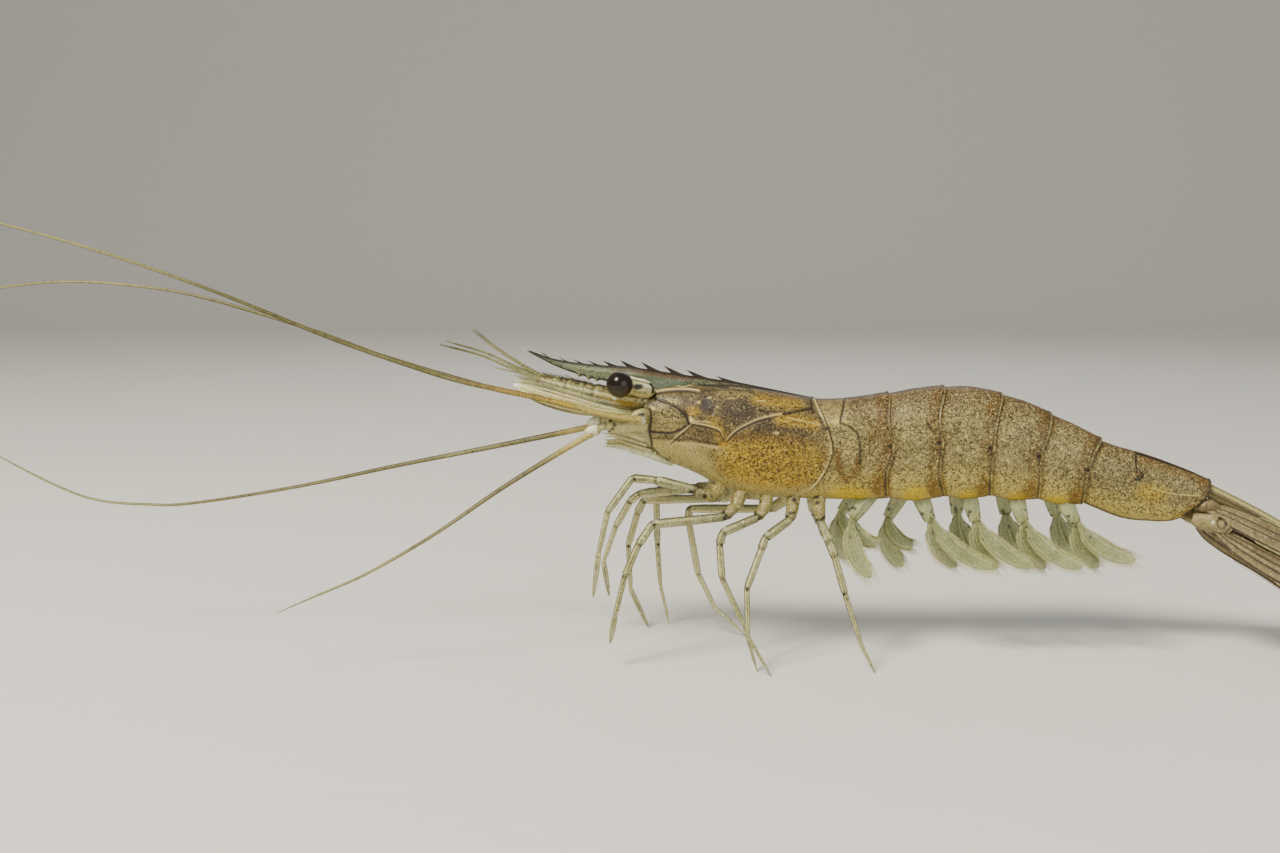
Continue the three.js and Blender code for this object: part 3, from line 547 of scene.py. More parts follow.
def paint_carapace(X, Z, V, from_front, to_rear):
    """What the shell of the head is painted with."""
    ripple = np.sin(X * 2.1 + Z * 1.3) * np.sin(X * 0.9 - Z * 2.3) * 0.5 + 0.5
    streaks = 0.5 + 0.5 * np.sin(Z * 9.0 + X * 2.2) * np.sin(X * 1.4 + 1.0)
    gills = spot(X, Z, -22.0, 31.6, 8.8, 4.9, 2.4)
    gills = np.maximum(gills, spot(X, Z, -28.0, 33.4, 3.0, 2.4, 1.6))
    lowest = ease(-V, 0.62, 0.86)
    groove = np.maximum.reduce(
        [
            *strokes(
                X, Z,
                (0.95, CERVICAL_GROOVE, 0.22), (1.0, GROOVE_END, 0.28), (1.0, FRONT_GROOVE, FINE),
                (0.95, CELL_GROOVE, FINE), (0.6, CHEEK_WRINKLE, 0.2), (0.95, HIND_GROOVE, FINE),
                (0.8, below(NODE_RIDGE, 0.3), 0.16), (0.85, below(SIDE_RIDGE, 0.32), 0.18),
                (0.75, below(ORBITAL_RIDGE, 0.32), 0.18), (0.9, below(CREST_FOOT, -0.22), 0.17),
                (0.5, DORSAL_STREAK, 0.16), (0.6, HEPATIC_GROOVE, 0.2), (0.7, CREST_NICK, 0.28),
                (0.75, BACK_NICK, 0.2),
            ),
            *dots(
                X, Z,
                (0.9, -13.6, 37.4, 0.35, 0.4), (0.5, -32.7, 41.0, 1.0, 0.9, 1.4),
                (0.8, -31.7, 39.9, 0.4, 0.5),
            ),
            0.9 * near(X, Z, REAR_TOP_GROOVE, 0.22) * ease(Z, 39.5, 41),
            0.9 * near(X, Z, below(GILL_RIDGE, 0.32), 0.17) * ease(-X, 20, 23),
            0.95 * band(to_rear, 0, 0.17) * ease(Z, 26.5, 30),
            0.9 * ease(V, 0.972, 0.988),
            0.6 * band(V, -0.975, 0.02),
        ]
    )  # fmt: skip
    white = ease(Z, 38.2, 39.5) + 0.9 * spot(X, Z, -14.5, 29.0, 1.5, 1.6) + 0.35
    ridge = np.maximum.reduce(
        [
            *strokes(
                X, Z,
                (0.9, NODE_RIDGE, THIN), (0.75, SIDE_RIDGE, THIN), (0.6, UPPER_RIDGE, 0.1),
                (0.8, GILL_RIDGE, THIN), (0.55, HIND_STREAK, 0.1), (0.85, ORBITAL_RIDGE, THIN),
            ),
            # The pale dots at x -34.9, -33.6, -31.9, -30.7, -28.4 and -23.8 are painted highlights: glints
            # where light catches small bumps of the shell.
            *dots(
                X, Z,
                (1.0, -34.9, 38.7, 0.42, 0.45), (0.95, -33.6, 41.4, 0.3, 0.26),
                (0.9, -12.9, 33.6, 0.3, 0.25), (0.8, -21.6, 36.8, 0.5, 0.2),
                (0.7, -31.9, 42.1, 0.35, 0.16), (0.6, -30.7, 40.7, 0.22, 0.2),
                (0.6, -28.4, 42.0, 0.7, 0.1), (0.7, -23.8, 41.6, 0.8, 0.11),
                (0.9, -40.9, 40.4, 0.5, 0.3),
            ),
            0.4 * near(X, Z, HEPATIC_RIDGE, 0.22) * ease(-X, 29.0, 31.0),
            0.75 * near(X, Z, CREST_FOOT, 0.1) * ease(-X, 34, 35),
            np.clip(white, 0, 1) * band(to_rear, 0.36, 0.13),
            0.45 * band(from_front, 0, 0.2) * ease(V, -0.5, 0.3),
        ]
    )  # fmt: skip
    gold = (
        gills * (0.72 + 0.22 * ripple)
        + 0.75 * near(X, Z, UPPER_GOLD, 1.0) * (0.3 + 0.7 * streaks)
        + 0.75 * near(X, Z, HIND_GOLD, 0.9)
        + 0.75 * spot(X, Z, -34.4, 40.1, 1.0, 0.8, 1.4)
        + 0.4 * near(X, Z, GILL_FRONT_GOLD, 0.9)
    )
    umber = (
        0.6 * near(X, Z, GILL_TOP_UMBER, 0.9)
        + 0.5 * near(X, Z, SIDE_RIDGE, 1.0) * ease(-Z, -37.4, -36.8)
        + 0.22 * ease(V, 0.82, 0.97) * ripple
        + 0.35 * near(X, Z, BACK_UMBER, 0.5)
    )
    dusk = (
        0.75 * spot(X, Z, -27.2, 40.2, 3.0, 2.0, 1.8)
        + 0.1 * near(X, Z, BACK_DUSK, 1.0)
        + 0.75 * spot(X, Z, -23.0, 37.6, 2.3, 1.1, 1.5)
        + 0.6 * near(X, Z, HIND_DUSK, 0.7)
        + 0.95 * spot(X, Z, -32.6, 41.0, 1.2, 1.3, 2.0)
        + 0.3 * spot(X, Z, -31.6, 42.6, 2.4, 0.6)
        + 0.25 * ease(V, 0.86, 0.97)
        + 0.3 * spot(X, Z, -40.0, 41.5, 1.4, 0.7)
    )
    pale = (
        0.9 * spot(X, Z, -37.8, 41.5, 1.3, 0.5, 2.0)
        + 0.85 * spot(X, Z, -40.0, 40.6, 1.3, 0.6, 2.0)
        + 0.55 * spot(X, Z, -38.0, 39.3, 2.4, 0.9, 1.6)
        + 0.95 * ease(-X, 29, 34) * ease(-V, 0.2, 0.55)
        + 0.8 * lowest
        + 0.6 * near(X, Z, CHEEK_PALE, 0.5)
        + 0.5 * ease(-to_rear, -1.6, -0.6) * ease(-V, -0.5, 0.0)
        + 0.45 * spot(X, Z, -38.5, 37.7, 2.3, 1.3, 1.6)
        + 0.5 * near(X, Z, BACK_PALE, 0.7)
    )
    pepper = (
        gills * (0.65 - 0.7 * ease(-V, 0.4, 0.75) - 0.35 * ease(-X, 24.5, 27.5))
        + 0.3 * ease(V, 0.2, 0.5)
        - 0.35 * ease(V, 0.6, 0.85)
        + 0.35 * np.clip(dusk, 0, 1)
        - 1.2 * lowest
        - 0.8 * ease(-X, 28, 34) * ease(-V, 0.1, 0.5)
        - 0.25 * ease(-X, 34, 36)
    )
    return {
        "groove": groove, "ridge": ridge, "gold": gold, "umber": umber, "dusk": dusk, "pale": pale,
        "pepper": np.clip(pepper, -1, 1),
    }  # fmt: skip


def head_swell(t):
    """The carapace bulges by a twentieth of a millimetre between its edges."""
    return 0.05 * np.sin(math.pi * t)


carapace = plate(
    carapace_front, carapace_rear, spacing=0.13, swell=head_swell, lobe=0.0, paint=paint_carapace,
    lip=0.1,
)  # fmt: skip
carapace.make("carapace_shell", head_chitin, "head_shell", "carapace")

# ---- Rostrum -----------------------------------------------------------------------
# A thin upright blade of the same chitin, clear enough to look grey-green, that runs out
# over the eyes. Its edges are dark and saw-toothed, with forward hooks, and its root is
# the keel along the back of the carapace.

ROSTRUM_TIP = (-61.8, 49.7)
KEEL_END = -15.5
crest_z = through(
    ROSTRUM_TIP, (-56.5, 47.9), (-50, 47.0), (-44, 46.6), (-38, 45.7), (-32, 44.85), (-25, 43.85),
    (-20, 42.85), (KEEL_END, 42.0),
)  # fmt: skip
lower_z = through(
    ROSTRUM_TIP, (-59.4, 48.3), (-56, 46.6), (-52, 45.2), (-48, 44.3), (-43, 43.6), (-41.5, 43.6)
)
# Each upper tooth's point, its height over the edge and its length back from the point.
TOP_TEETH = (
    (-58.8, 0.35, 1.8), (-56.2, 0.45, 2.0), (-53.9, 0.52, 2.2), (-51.5, 0.58, 2.4),
    (-49.1, 0.8, 2.9), (-46.3, 0.98, 3.2), (-42.9, 1.0, 3.4), (-39.2, 1.0, 3.5),
    (-35.6, 0.85, 3.8), (-30.9, 0.5, 3.8),
)  # fmt: skip
GLINTING_TEETH = TOP_TEETH[4:7]  # the ones with a pale point
LOW_TEETH = ((-52.8, 0.4), (-51.3, 0.45), (-50.0, 0.4))  # x and depth
HOOK = 1.2  # how far under its point a tooth's front edge is notched back
# The back of a tooth: how far along it, how much of its height is left, how dark it is.
TOOTH_BACK = ((0.25, 0.78, 0.9), (0.55, 0.42, 0.7), (0.8, 0.14, 0.4), (1.0, 0.0, 0))
EDGE_POINTS = 900


def resample(line, count):
    """count points evenly spaced along a line of points."""
    steps = np.linalg.norm(np.diff(line[:, :3], axis=0), axis=1)
    along = np.concatenate([[0], np.cumsum(steps)])
    return np.stack([np.interp(np.linspace(0, along[-1], count), along, column) for column in line.T], -1)


EDGE_DROP = 0.06  # how far under the sharp edge the blade's sides start
FULL_HEIGHT = 2.4  # the blade is as thick as it gets where it is this high
RIB_FALL = 0.42  # how far down the blade its stiffening rib lies
# Along the edge: x and z of the edge, x of the blade under it, how much it is a tooth.
edge = [(*ROSTRUM_TIP, ROSTRUM_TIP[0], 0)]
for x, high, length in TOP_TEETH:
    foot = x + HOOK
    edge.append((foot + 0.1, crest_z(foot) - 0.02, foot, 0))
    edge.append((x + 0.6, crest_z(x) + 0.5 * high, foot + 0.08, 0.9))
    edge.append((x, crest_z(x) + high, foot + 0.14, 1))
    for back, part, tooth in TOOTH_BACK:
        at = x + back * length
        edge.append((at, crest_z(at) + part * high, max(at, foot + 0.14 + 0.3 * back), tooth))
edge.append((KEEL_END, back_z(KEEL_END) - 0.05, KEEL_END, 0))
edge = resample(np.array(edge, float), EDGE_POINTS)
edge_x, edge_z, base_x, tooth = edge[:, :1], edge[:, 1:2], edge[:, 2:3], edge[:, 3:4]
base_top = np.minimum(crest_z(base_x), edge_z) - EDGE_DROP
lower = lower_z(base_x)
for x, deep in LOW_TEETH:
    lower = lower - deep * np.clip(1 - np.abs(base_x - x - 0.15) / 0.5, 0, 1)
on_back = ease(base_x, -43.5, -40.5)  # where the blade becomes the keel of the carapace
lower = np.minimum(lower * (1 - on_back) + (back_z(base_x) - 0.6) * on_back, base_top - 0.05)
# The blade's columns of points, 0 at the sharp edge and 1 at the lower one.
down = np.array(
    [
        0, 0.02, 0.05, 0.08, 0.12, 0.16, 0.2, 0.25, 0.31, 0.37, 0.41, 0.45, 0.51, 0.58, 0.66,
        0.73, 0.79, 0.84, 0.88, 0.92, 0.96, 1.0,
    ]
)[None, :]  # fmt: skip
fall = np.clip((down - down[0, 1]) / (1 - down[0, 1]), 0, 1)  # the same for the sides alone
z = np.where(down == 0, edge_z, base_top + (lower - base_top) * fall)
x = np.where(down == 0, edge_x, base_x)
height = base_top - lower
from_top = fall * height
from_low = (1 - fall) * height
tall = np.clip(height / FULL_HEIGHT, 0.08, 1)
blade_half = 0.06 + tall * (0.34 * np.sin(math.pi * fall) ** 0.8 + 0.12 * band(fall, RIB_FALL, 0.08))
crest_half = 0.12 + 1.7 * fall**2.4 * np.clip(height / 1.6, 0.5, 1)
half = np.where(down == 0, 0.05, blade_half * (1 - on_back) + crest_half * on_back)
left = np.stack([x, -half, z], -1)
right = np.stack([x, half, z], -1)
P = np.concatenate([left, right[:, ::-1]], axis=1)
UPPER_BAND = 0.4  # how deep the dark upper edge is
LOWER_BAND = 0.36
tip = 1 - ease(edge_x, -61.4, -60.2)
upper_band = band(from_top, 0, UPPER_BAND, 3) * (1.0 - 0.05 * on_back)
lower_band = band(from_low, 0, LOWER_BAND, 3) * (1 - on_back) * 0.95
rib_line = 0.5 * band(fall, RIB_FALL, 0.06) * ease(base_x, -60, -52) * (1 - 0.7 * on_back)
toothed = np.where(down == 0, ease(tooth, 0.0, 0.3), 0)
ink = np.maximum.reduce([upper_band, lower_band, toothed + 0 * fall])
low_teeth = sum(spot(x, z, at, lower_z(at) - 0.25, 0.3, 0.35) for at, _ in LOW_TEETH)
glint = sum(spot(x, z, at, crest_z(at) + high, 0.22, 0.16) for at, high, _ in GLINTING_TEETH)
rear_part = ease(base_x, -45, -41) * (1 - ease(base_x, -34, -28))
rostrum_marks = {
    "groove": ink * (1 - tip) * (1 - np.clip(low_teeth + glint, 0, 1)) + 0.4 * rib_line,
    "clear": (1 - 0.75 * on_back * ease(fall, 0.3, 0.8))
    * (1 - 0.75 * ease(base_x, -36, -28))
    * (1 - 0.8 * rear_part),
    "brown": 0.35 * rib_line,
    "rust": 0.7 * band(from_top, 0.55, 0.3) * ease(base_x, -49, -46) * ease(-base_x, 33, 36)
    + 0.5 * low_teeth,
    "dusk": 0.35 * on_back * ease(base_x, -34, -28),
    "teal": 0.95 * rear_part * ease(fall, 0.1, 0.4),
    "ridge": np.clip(0.95 * tip * (1 - 0.3 * fall) + 0.6 * glint + 0.35 * low_teeth, 0, 1),
    "pepper": -1 + 0.9 * on_back * ease(base_x, -38, -34),
}
for mark, value in rostrum_marks.items():
    value = np.broadcast_to(value, half.shape)
    rostrum_marks[mark] = np.concatenate([value, value[:, ::-1]], 1)
rostrum = Form()
rostrum.ring_skin(P, rostrum_marks)
rostrum.make("toothed_rostrum", head_chitin, "head_shell", "rostrum")

# ---- Abdomen -----------------------------------------------------------------------
# Six ring-like plates of chitin that slide under one another, each pivoting on a small
# dark knob half way up its side. The overlaps show as brown bars, and the lower edges
# hang as rounded lobes with yellow and rust pigment.

abdomen_chitin = cuticle(
    "speckled_abdomen_chitin", "#877c4e", "#5f5631",
    specks=(
        (0.42, -0.045, 0.08, 0.62, "#31230b"), (0.27, -0.05, 0.07, 0.78, "#231506"),
        # the pale flecks are painted highlights: glints of light on the wet shell
        (0.3, -0.08, 0.02, 0.52, "#ccbe79"),
    ),
    tints=(
        ("dusk", 0.85, "~#3b2f13"), ("pale", 0.9, "~#a59859"), ("rose", 0.85, "~#69543e"),
        ("brown", 0.92, "~#5a400c"), ("gold", 0.97, "~#ae920a"), ("umber", 0.8, "#5e3d0c"),
        ("ridge", 0.75, "#c1af63"), ("groove", 0.97, "#1c1107"),
    ),
)  # fmt: skip

# The joint behind each plate: x at the lower rim, half way down, at the pivot, half way
# up and on the back.
JOINTS = {
    1: (-3.4, -3.9, -3.0, -3.7, -3.1),
    2: (5.8, 4.4, 4.7, 4.3, 5.8),
    3: (13.0, 12.6, 12.8, 13.4, 15.0),
    4: (20.6, 20.5, 20.4, 21.7, 22.9),
    5: (27.8, 27.9, 28.2, 29.3, 31.2),
    6: (43.4, 46.4, 48.0, 48.5, 49.1),
}
PIVOTS = ((-3.1, 34.7), (4.6, 35.2), (12.7, 34.4), (20.5, 33.0), (28.5, 30.7))
OVERLAP = 1.3  # how far each plate starts under the one before it
RUST_LOBES = ((-5.2, 28.2), (3.6, 27.8), (11.2, 27.6), (18.6, 27.0), (26.2, 26.2))
YELLOW_LOBES = ((-9.0, 26.3), (0.5, 26.9), (9.3, 26.2), (17.1, 25.7), (23.4, 25.2))
FIRST_NECK_LINE = rounded((-10.0, 42.2), (-10.7, 40.6), (-11.4, 38.3))
FIRST_ARC_LINE = rounded((-11.4, 38.2), (-9.9, 37.7), (-8.8, 36.6), (-8.4, 34.9), (-8.3, 31.8))
FIRST_BROWN_LOOP = rounded((-12.0, 33.6), (-11.5, 30.9), (-10.4, 29.4), (-9.2, 30.2), (-8.6, 32.3))
FIRST_BROWN_MARK = ((-7.2, 39.2), (-6.0, 37.2), (-6.8, 35.4))
SECOND_SCRATCH = rounded((2.0, 38.8), (2.6, 37.6), (3.2, 36.6))
LAST_SIDE_LINE = rounded((36.7, 33.2), (36.2, 31.6), (36.2, 30.2))
LAST_SIDE_RIDGE = rounded((38.5, 27.6), (42.0, 26.6), (46.5, 26.2))
LAST_KNOB = (36.3, 29.7)  # on the side of the last plate


def joint_line(number, offset=0.0):
    """The line of the joint behind a plate, or one offset from it."""
    return through(*zip((-1, -0.5, 0, 0.5, 1), np.array(JOINTS[number]) + offset))


def paint_somite(number):
    """What one plate of the abdomen is painted with."""

    def paint(X, Z, V, from_front, to_rear):
        ripple = np.sin(X * 1.7 + Z * 2.9) * np.sin(Z * 1.3 - X * 0.7) * 0.5 + 0.5
        wave = 0.25 * np.sin(Z * 2.3 + number) + 0.15 * np.sin(Z * 5.1)
        upper = ease(V, 0.2, 0.8)
        lower = ease(-V, 0.15, 0.8)
        strong = 0.55 + 0.35 * upper + 0.25 * lower
        behind_joint = from_front - OVERLAP if number > 1 else from_front + 9
        bar = band(to_rear - 1.1, wave, 0.85, 4) * strong * (0.75 + 0.35 * ripple)
        bar_edge = band(to_rear - 1.95, wave, 0.16) * (0.35 + 0.65 * ripple)
        after = band(behind_joint, 0.2, 0.45) * strong
        rust = sum(spot(X, Z, x, z, 1.5, 1.5, 1.4) for x, z in RUST_LOBES)
        mottled = 0.4 + 0.8 * ripple
        base_brown = 0.2 if number in (1, 6) else 0
        marks = {
            "brown": bar + 0.8 * after + 0.5 * ease(V, 0.86, 0.97) * mottled + 0.9 * rust + base_brown,
            "umber": 0.5 * rust + 0.3 * after + 0.15 * bar + 0.55 * bar_edge
            + 0.55 * ease(V, 0.94, 0.98) * mottled,
            # The pale line along each plate's rear rim, stronger up the side, is a painted highlight where
            # light catches the rim.
            "ridge": 0.35 * band(to_rear, 0, 0.12) * (0.1 + 0.9 * upper) + 0.5 * band(V, -0.975, 0.012),
            "groove": 0.95 * band(to_rear, 0.34, 0.16) * (0.65 + 0.35 * lower)
            + 0.6 * ease(V, 0.98, 0.992)
            + 0.5 * band(V, -0.945, 0.012),
            "gold": 0.32 * lower,
            "pale": 0.85 * ease(-V, 0.35, 0.6) * (1 - 0.6 * ease(-V, 0.8, 0.92))
            + 0.4 * (1 - ripple) * (1 - upper)
            + 0.3 * upper * (1 - ease(V, 0.75, 0.9)),
            "rose": 0.75 * ease(V, 0.45, 0.9) * (0.6 + 0.4 * ripple),
            "dusk": 0.25 * ease(V, 0.85, 0.95),
            "pepper": 0.3 + 0.3 * upper - 1.1 * ease(-V, 0.68, 0.86) + 0.1 * bar,
        }

        def add(mark, *values):
            marks[mark] = sum(values, marks[mark])

        def top(mark, *values):
            marks[mark] = np.maximum.reduce([marks[mark], *values])

        for x, z in PIVOTS:
            top("groove", spot(X, Z, x - 0.55, z, 0.5, 0.42))
            add("brown", 0.6 * spot(X, Z, x - 0.5, z, 0.8, 1.2, 1.2))
            top("ridge", 0.9 * spot(X, Z, x - 0.05, z - 0.1, 0.22, 0.45))
        for x, z in YELLOW_LOBES:
            add("gold", spot(X, Z, x, z, 1.8, 1.4, 1.6))
            add("pepper", -spot(X, Z, x, z, 1.9, 1.3, 1.5))
        if number == 1:
            neck = ease(-X, 9.5, 10.6) * ease(Z, 37.0, 38.4)
            top("groove", 0.95 * near(X, Z, FIRST_NECK_LINE, 0.2), 0.85 * near(X, Z, FIRST_ARC_LINE, FINE))
            top("ridge", 0.8 * spot(X, Z, -12.0, 38.4, 0.9, 0.5, 1.5))
            add("brown", *strokes(X, Z, (0.75, FIRST_BROWN_LOOP, 0.65), (0.7, FIRST_BROWN_MARK, 0.6)))
            add("umber", 0.4 * near(X, Z, FIRST_BROWN_LOOP, 0.5))
            add("pale", 0.9 * neck, 0.5 * spot(X, Z, -10.2, 33.6, 1.3, 2.6))
            add("pepper", -0.9 * neck)
            add("gold", spot(X, Z, -9.8, 26.9, 2.8, 1.5, 1.6))
        if number == 2:
            top("groove", 0.6 * near(X, Z, SECOND_SCRATCH, FINE))
        if number == 6:
            knob_x, knob_z = LAST_KNOB
            around = np.hypot(X - knob_x, Z - knob_z)
            knob = band(around, 0.75, 0.27) * (0.45 + 0.55 * ease(X - Z, 6.2, 6.9))
            dimple = 0.9 * spot(X, Z, knob_x, knob_z - 0.35, 0.3, 0.3)
            keel = ease(V, 0.89, 0.93) * (1 - 0.75 * ease(V, 0.97, 0.99)) * ease(X, 36.3, 36.8)
            hem = 0.75 * band(V, -0.93, 0.03)
            line = near(X, Z, LAST_SIDE_LINE, FINE)
            top("groove", line, knob, dimple, keel, hem, 0.95 * band(to_rear, 0, 0.3))
            pale_spot = 0.9 * spot(X, Z, knob_x - 0.65, knob_z, 0.22, 0.5)
            top("ridge", pale_spot + 0.7 * near(X, Z, LAST_SIDE_RIDGE, 0.14))
            add("umber", 0.5 * ease(V, 0.5, 0.9) * ease(X, 36, 37))
            add("gold", 0.65 * spot(X, Z, 38.6, 26.8, 2.8, 1.7, 1.5))
            add("brown", 0.7 * spot(X, Z, knob_x, knob_z, 1.5, 1.3, 1.4))
        return marks

    return paint


def plate_swell(t):
    """How far a plate stands off the trunk: tucked in at its front, proud at its rear."""
    return -0.5 + 0.35 * ease(t, 0, 0.16) + 0.25 * ease(t, 0.1, 0.6) + 0.05 * ease(t, 0.7, 1.0)


LOBE = 0.55  # how much lower a plate's rim hangs between its joints
for number in JOINTS:
    front_line = joint_line(number - 1, -OVERLAP) if number > 1 else lambda v: carapace_rear(v) - OVERLAP
    somite = plate(
        front_line, joint_line(number), spacing=0.14, swell=plate_swell, lobe=LOBE,
        paint=paint_somite(number), lip=0.05,
    )  # fmt: skip
    somite.make(f"abdomen_plate_{number}", abdomen_chitin, "shell", f"somite_{number}")

# ---- Eyes --------------------------------------------------------------------------
# A prawn's eye is a ball of tiny lenses under one clear, glossy skin, dark brown with a
# paler rim, on a short movable stalk with a black spot.

EYE_RADIUS = 2.1
LENS_SIZE = 0.12  # four times the real 0.03 mm, to show
LENS_HEIGHT = 0.03
cornea = new_material("clear_faceted_cornea")
place = node(cornea, "TexCoord").outputs["Object"]
lenses = node(cornea, "TexVoronoi", {"Vector": place, "Scale": 1 / (LENS_SIZE * MM)})
lens_bump = node(
    cornea,
    "Bump",
    {"Height": lenses.outputs["Distance"], "Strength": 0.1, "Distance": LENS_HEIGHT * MM},
    invert=True,
)
depth = node(cornea, "TexNoise", {"Vector": place, "Scale": 700.0, "Detail": 3.0})
brown = mix(cornea, depth.outputs["Fac"], hex_linear("#0d0703"), hex_linear("#211409"))
# The lower half is painted a lighter olive brown: a painted reflection of the pale floor below.
floor_reflection_brown = mix(cornea, mark_value(cornea, "olive"), brown, hex_linear("#382b12"))
ringed = mix(cornea, mark_value(cornea, "rim"), floor_reflection_brown, hex_linear("#3a2d1b"))
lens_skin = node(
    cornea,
    "BsdfPrincipled",
    {
        "Base Color": ringed,
        "Roughness": 0.2,
        "IOR": 1.34,
        "Coat Weight": 0.22,
        "Coat Roughness": 0.05,
        "Coat IOR": 1.4,
        "Normal": lens_bump.outputs[0],
    },
)
finish_material(cornea, lens_skin)


def smooth_path(points, count):
    """count points evenly spaced on a Catmull-Rom curve through the given ones."""
    given = np.array(points, float)
    P = np.vstack([2 * given[0] - given[1], given, 2 * given[-1] - given[-2]])
    t = np.linspace(0, 1, 24, endpoint=False)[:, None]
    fine = []
    for a, b, c, d in zip(P, P[1:], P[2:], P[3:]):
        square, cube = 2 * a - 5 * b + 4 * c - d, 3 * b - a - 3 * c + d
        fine.append(b + 0.5 * t * (c - a) + 0.5 * t**2 * square + 0.5 * t**3 * cube)
    return resample(np.vstack([*fine, given[-1:]]), count)


def on_side(points, s):
    """Points given for the right side of the animal, moved to its left if s is -1."""
    return [(x, s * y, z) for x, y, z in points]


def rings(path, wide, thick, around, across=(0, 1, 0)):
    """Rings of points round a path, wide either way along across and thick the other
    way, and the angle of each point in its ring, 0 towards across."""
    along = unit(np.gradient(path, axis=0))
    across = np.broadcast_to(np.array(across, float), path.shape)
    spread = unit(across - along * (across * along).sum(-1, keepdims=True))
    face = np.cross(spread, along)
    angle = np.linspace(0, 2 * math.pi, around, endpoint=False)[None, :, None]
    wide = np.broadcast_to(np.asarray(wide, float), (len(path),))[:, None, None]
    thick = np.broadcast_to(np.asarray(thick, float), (len(path),))[:, None, None]
    P = path[:, None] + wide * np.cos(angle) * spread[:, None] + thick * np.sin(angle) * face[:, None]
    return P, np.broadcast_to(angle[..., 0], P.shape[:2])


def rise_on(P, path, girth):
    """How high each point lies on a limb: 1 on its upper side, -1 on its lower one."""
    return (P[..., 2] - path[:, None, 2]) / girth[:, None]


def blots(P, chance, places, radius, count):
    """A mark of count round blots on a skin of rings, at random places where the mask
    places is true, or anywhere if it is just True."""
    mark = np.zeros(P.shape[:2])
    spots = np.argwhere(np.broadcast_to(places, mark.shape))
    for row, column in chance.sample(spots.tolist(), min(count, len(spots))):
        size = radius * chance.uniform(0.6, 1.35)
        gap = np.linalg.norm(P - P[row, column], axis=-1) / size
        mark = np.maximum(mark, np.exp(-(gap**4)))
    return mark


limb_cuticle = cuticle(
    "clear_limb_cuticle", "#8a875d", "#6b6841", patch=2.2,
    # the second, pale kind of fleck is a painted highlight: glints of light on the wet cuticle
    specks=((0.3, -0.12, 0.1, 0.6, "#30210c"), (0.3, -0.08, 0.0, 0.5, "#e2e1a9")),
    tints=(
        # umber is the antennule's gold-brown patch, painted brighter than its own colour as painted light
        # against the shade of the eye and stalk over it
        ("amber", 0.92, "~#8b741b"), ("umber", 0.9, "~#b08c1c"), ("olive", 0.92, "~#978e49"),
        ("pale", 0.9, "~#dbd599"), ("edge", 0.9, "#241907"), ("white", 0.92, "#e7e7ca"),
        ("brown", 0.93, "#1e1107"), ("groove", 0.98, "#050302"),
    ),
    roughness=0.4, alpha=0.96, flesh=0.06,
)  # fmt: skip

SIDES = (("left", -1), ("right", 1))
EYE_STALK = (
    (-45.2, 4.3, 44.1), (-44.1, 3.9, 43.95), (-42.9, 3.5, 43.6), (-41.7, 3.0, 43.2),
    (-40.7, 2.5, 42.9),
)  # fmt: skip
STALK_STREAK = ((-43.9, 43.2), (-42.0, 42.9))
STALK_END = ((-41.2, 44.3), (-40.8, 43.6), (-40.9, 42.9))
for side, s in SIDES:
    centre = np.array([EYE_CENTRE.x, s * abs(EYE_CENTRE.y), EYE_CENTRE.z])
    gaze = unit(np.array([-0.35, s * 1.0, 0.1]))  # from the stalk out through the lens
    turn = np.linspace(0, math.pi, 49)[1:-1]
    path = centre + gaze * (EYE_RADIUS * -np.cos(turn))[:, None]
    girth = EYE_RADIUS * np.sin(turn)
    P, _ = rings(path, girth, girth, 72, (0, 0, 1))
    eye = Form()
    # olive on the lower half of the eye is a painted reflection of the floor
    drop = (centre[2] - P[..., 2]) / EYE_RADIUS
    eye.ring_skin(P, {"rim": (1 - ease(turn, 0.9, 1.6))[:, None], "olive": ease(drop, 0.1, 0.8)})
    eye.make(f"eye_lens_{side}", cornea, "eye", f"eye_{side}")

    path = smooth_path(on_side(EYE_STALK, s), 60)
    along = np.linspace(0, 1, len(path))
    girth = np.interp(along, [0, 0.12, 0.3, 0.55, 0.8, 1], [1.55, 1.55, 1.4, 1.5, 1.3, 0.5])
    P, _ = rings(path, girth, girth, 60, (0, 0, 1))
    X, Z = P[..., 0], P[..., 2]
    rise = rise_on(P, path, girth)
    stalk = Form()
    stalk.ring_skin(
        P,
        {
            "white": 0.95 * band(rise, 0.87, 0.07) + 0.7 * band(rise, 0.42, 0.1) * ease(X, -43.6, -43),
            "edge": 0.9 * band(rise, 0.68, 0.08) + 0.6 * near(X, Z, STALK_STREAK, 0.2),
            "groove": spot(X, Z, -43.2, 43.95, 0.95, 0.52, 3.0) + near(X, Z, STALK_END, 0.25),
            "amber": 0.9 * ease(-rise, 0.1, 0.5),
            "pale": 0.35,
        },
    )
    stalk.make(f"eye_stalk_{side}", limb_cuticle, "limb", f"eyestalk_{side}")

# ---- Antennules --------------------------------------------------------------------
# The small inner pair of feelers: a stout stalk of three clear segments, spotted brown
# along its upper edge, with three hair-fine whips at its end.


def joint_creases(along, joints, depth=0.14, width=0.3):
    """1 along a limb, less at a crease on each joint and more at a collar before it."""
    size = np.ones_like(along)
    for joint in joints:
        size = size - depth * band(along, joint, width)
        size = size + 0.5 * depth * band(along - joint, -2.4 * width, 1.6 * width)
    return size


def length_along(path):
    """How far along its path each point is."""
    return np.concatenate([[0], np.cumsum(np.linalg.norm(np.diff(path, axis=0), axis=1))])


bristle = cuticle("clear_bristle_chitin", "#c6c181", "#938d5d", patch=4.0, roughness=0.4, alpha=0.9)
dark_bristle = cuticle("dark_bristle_chitin", "#312509", "#211706", patch=4.0, roughness=0.4)


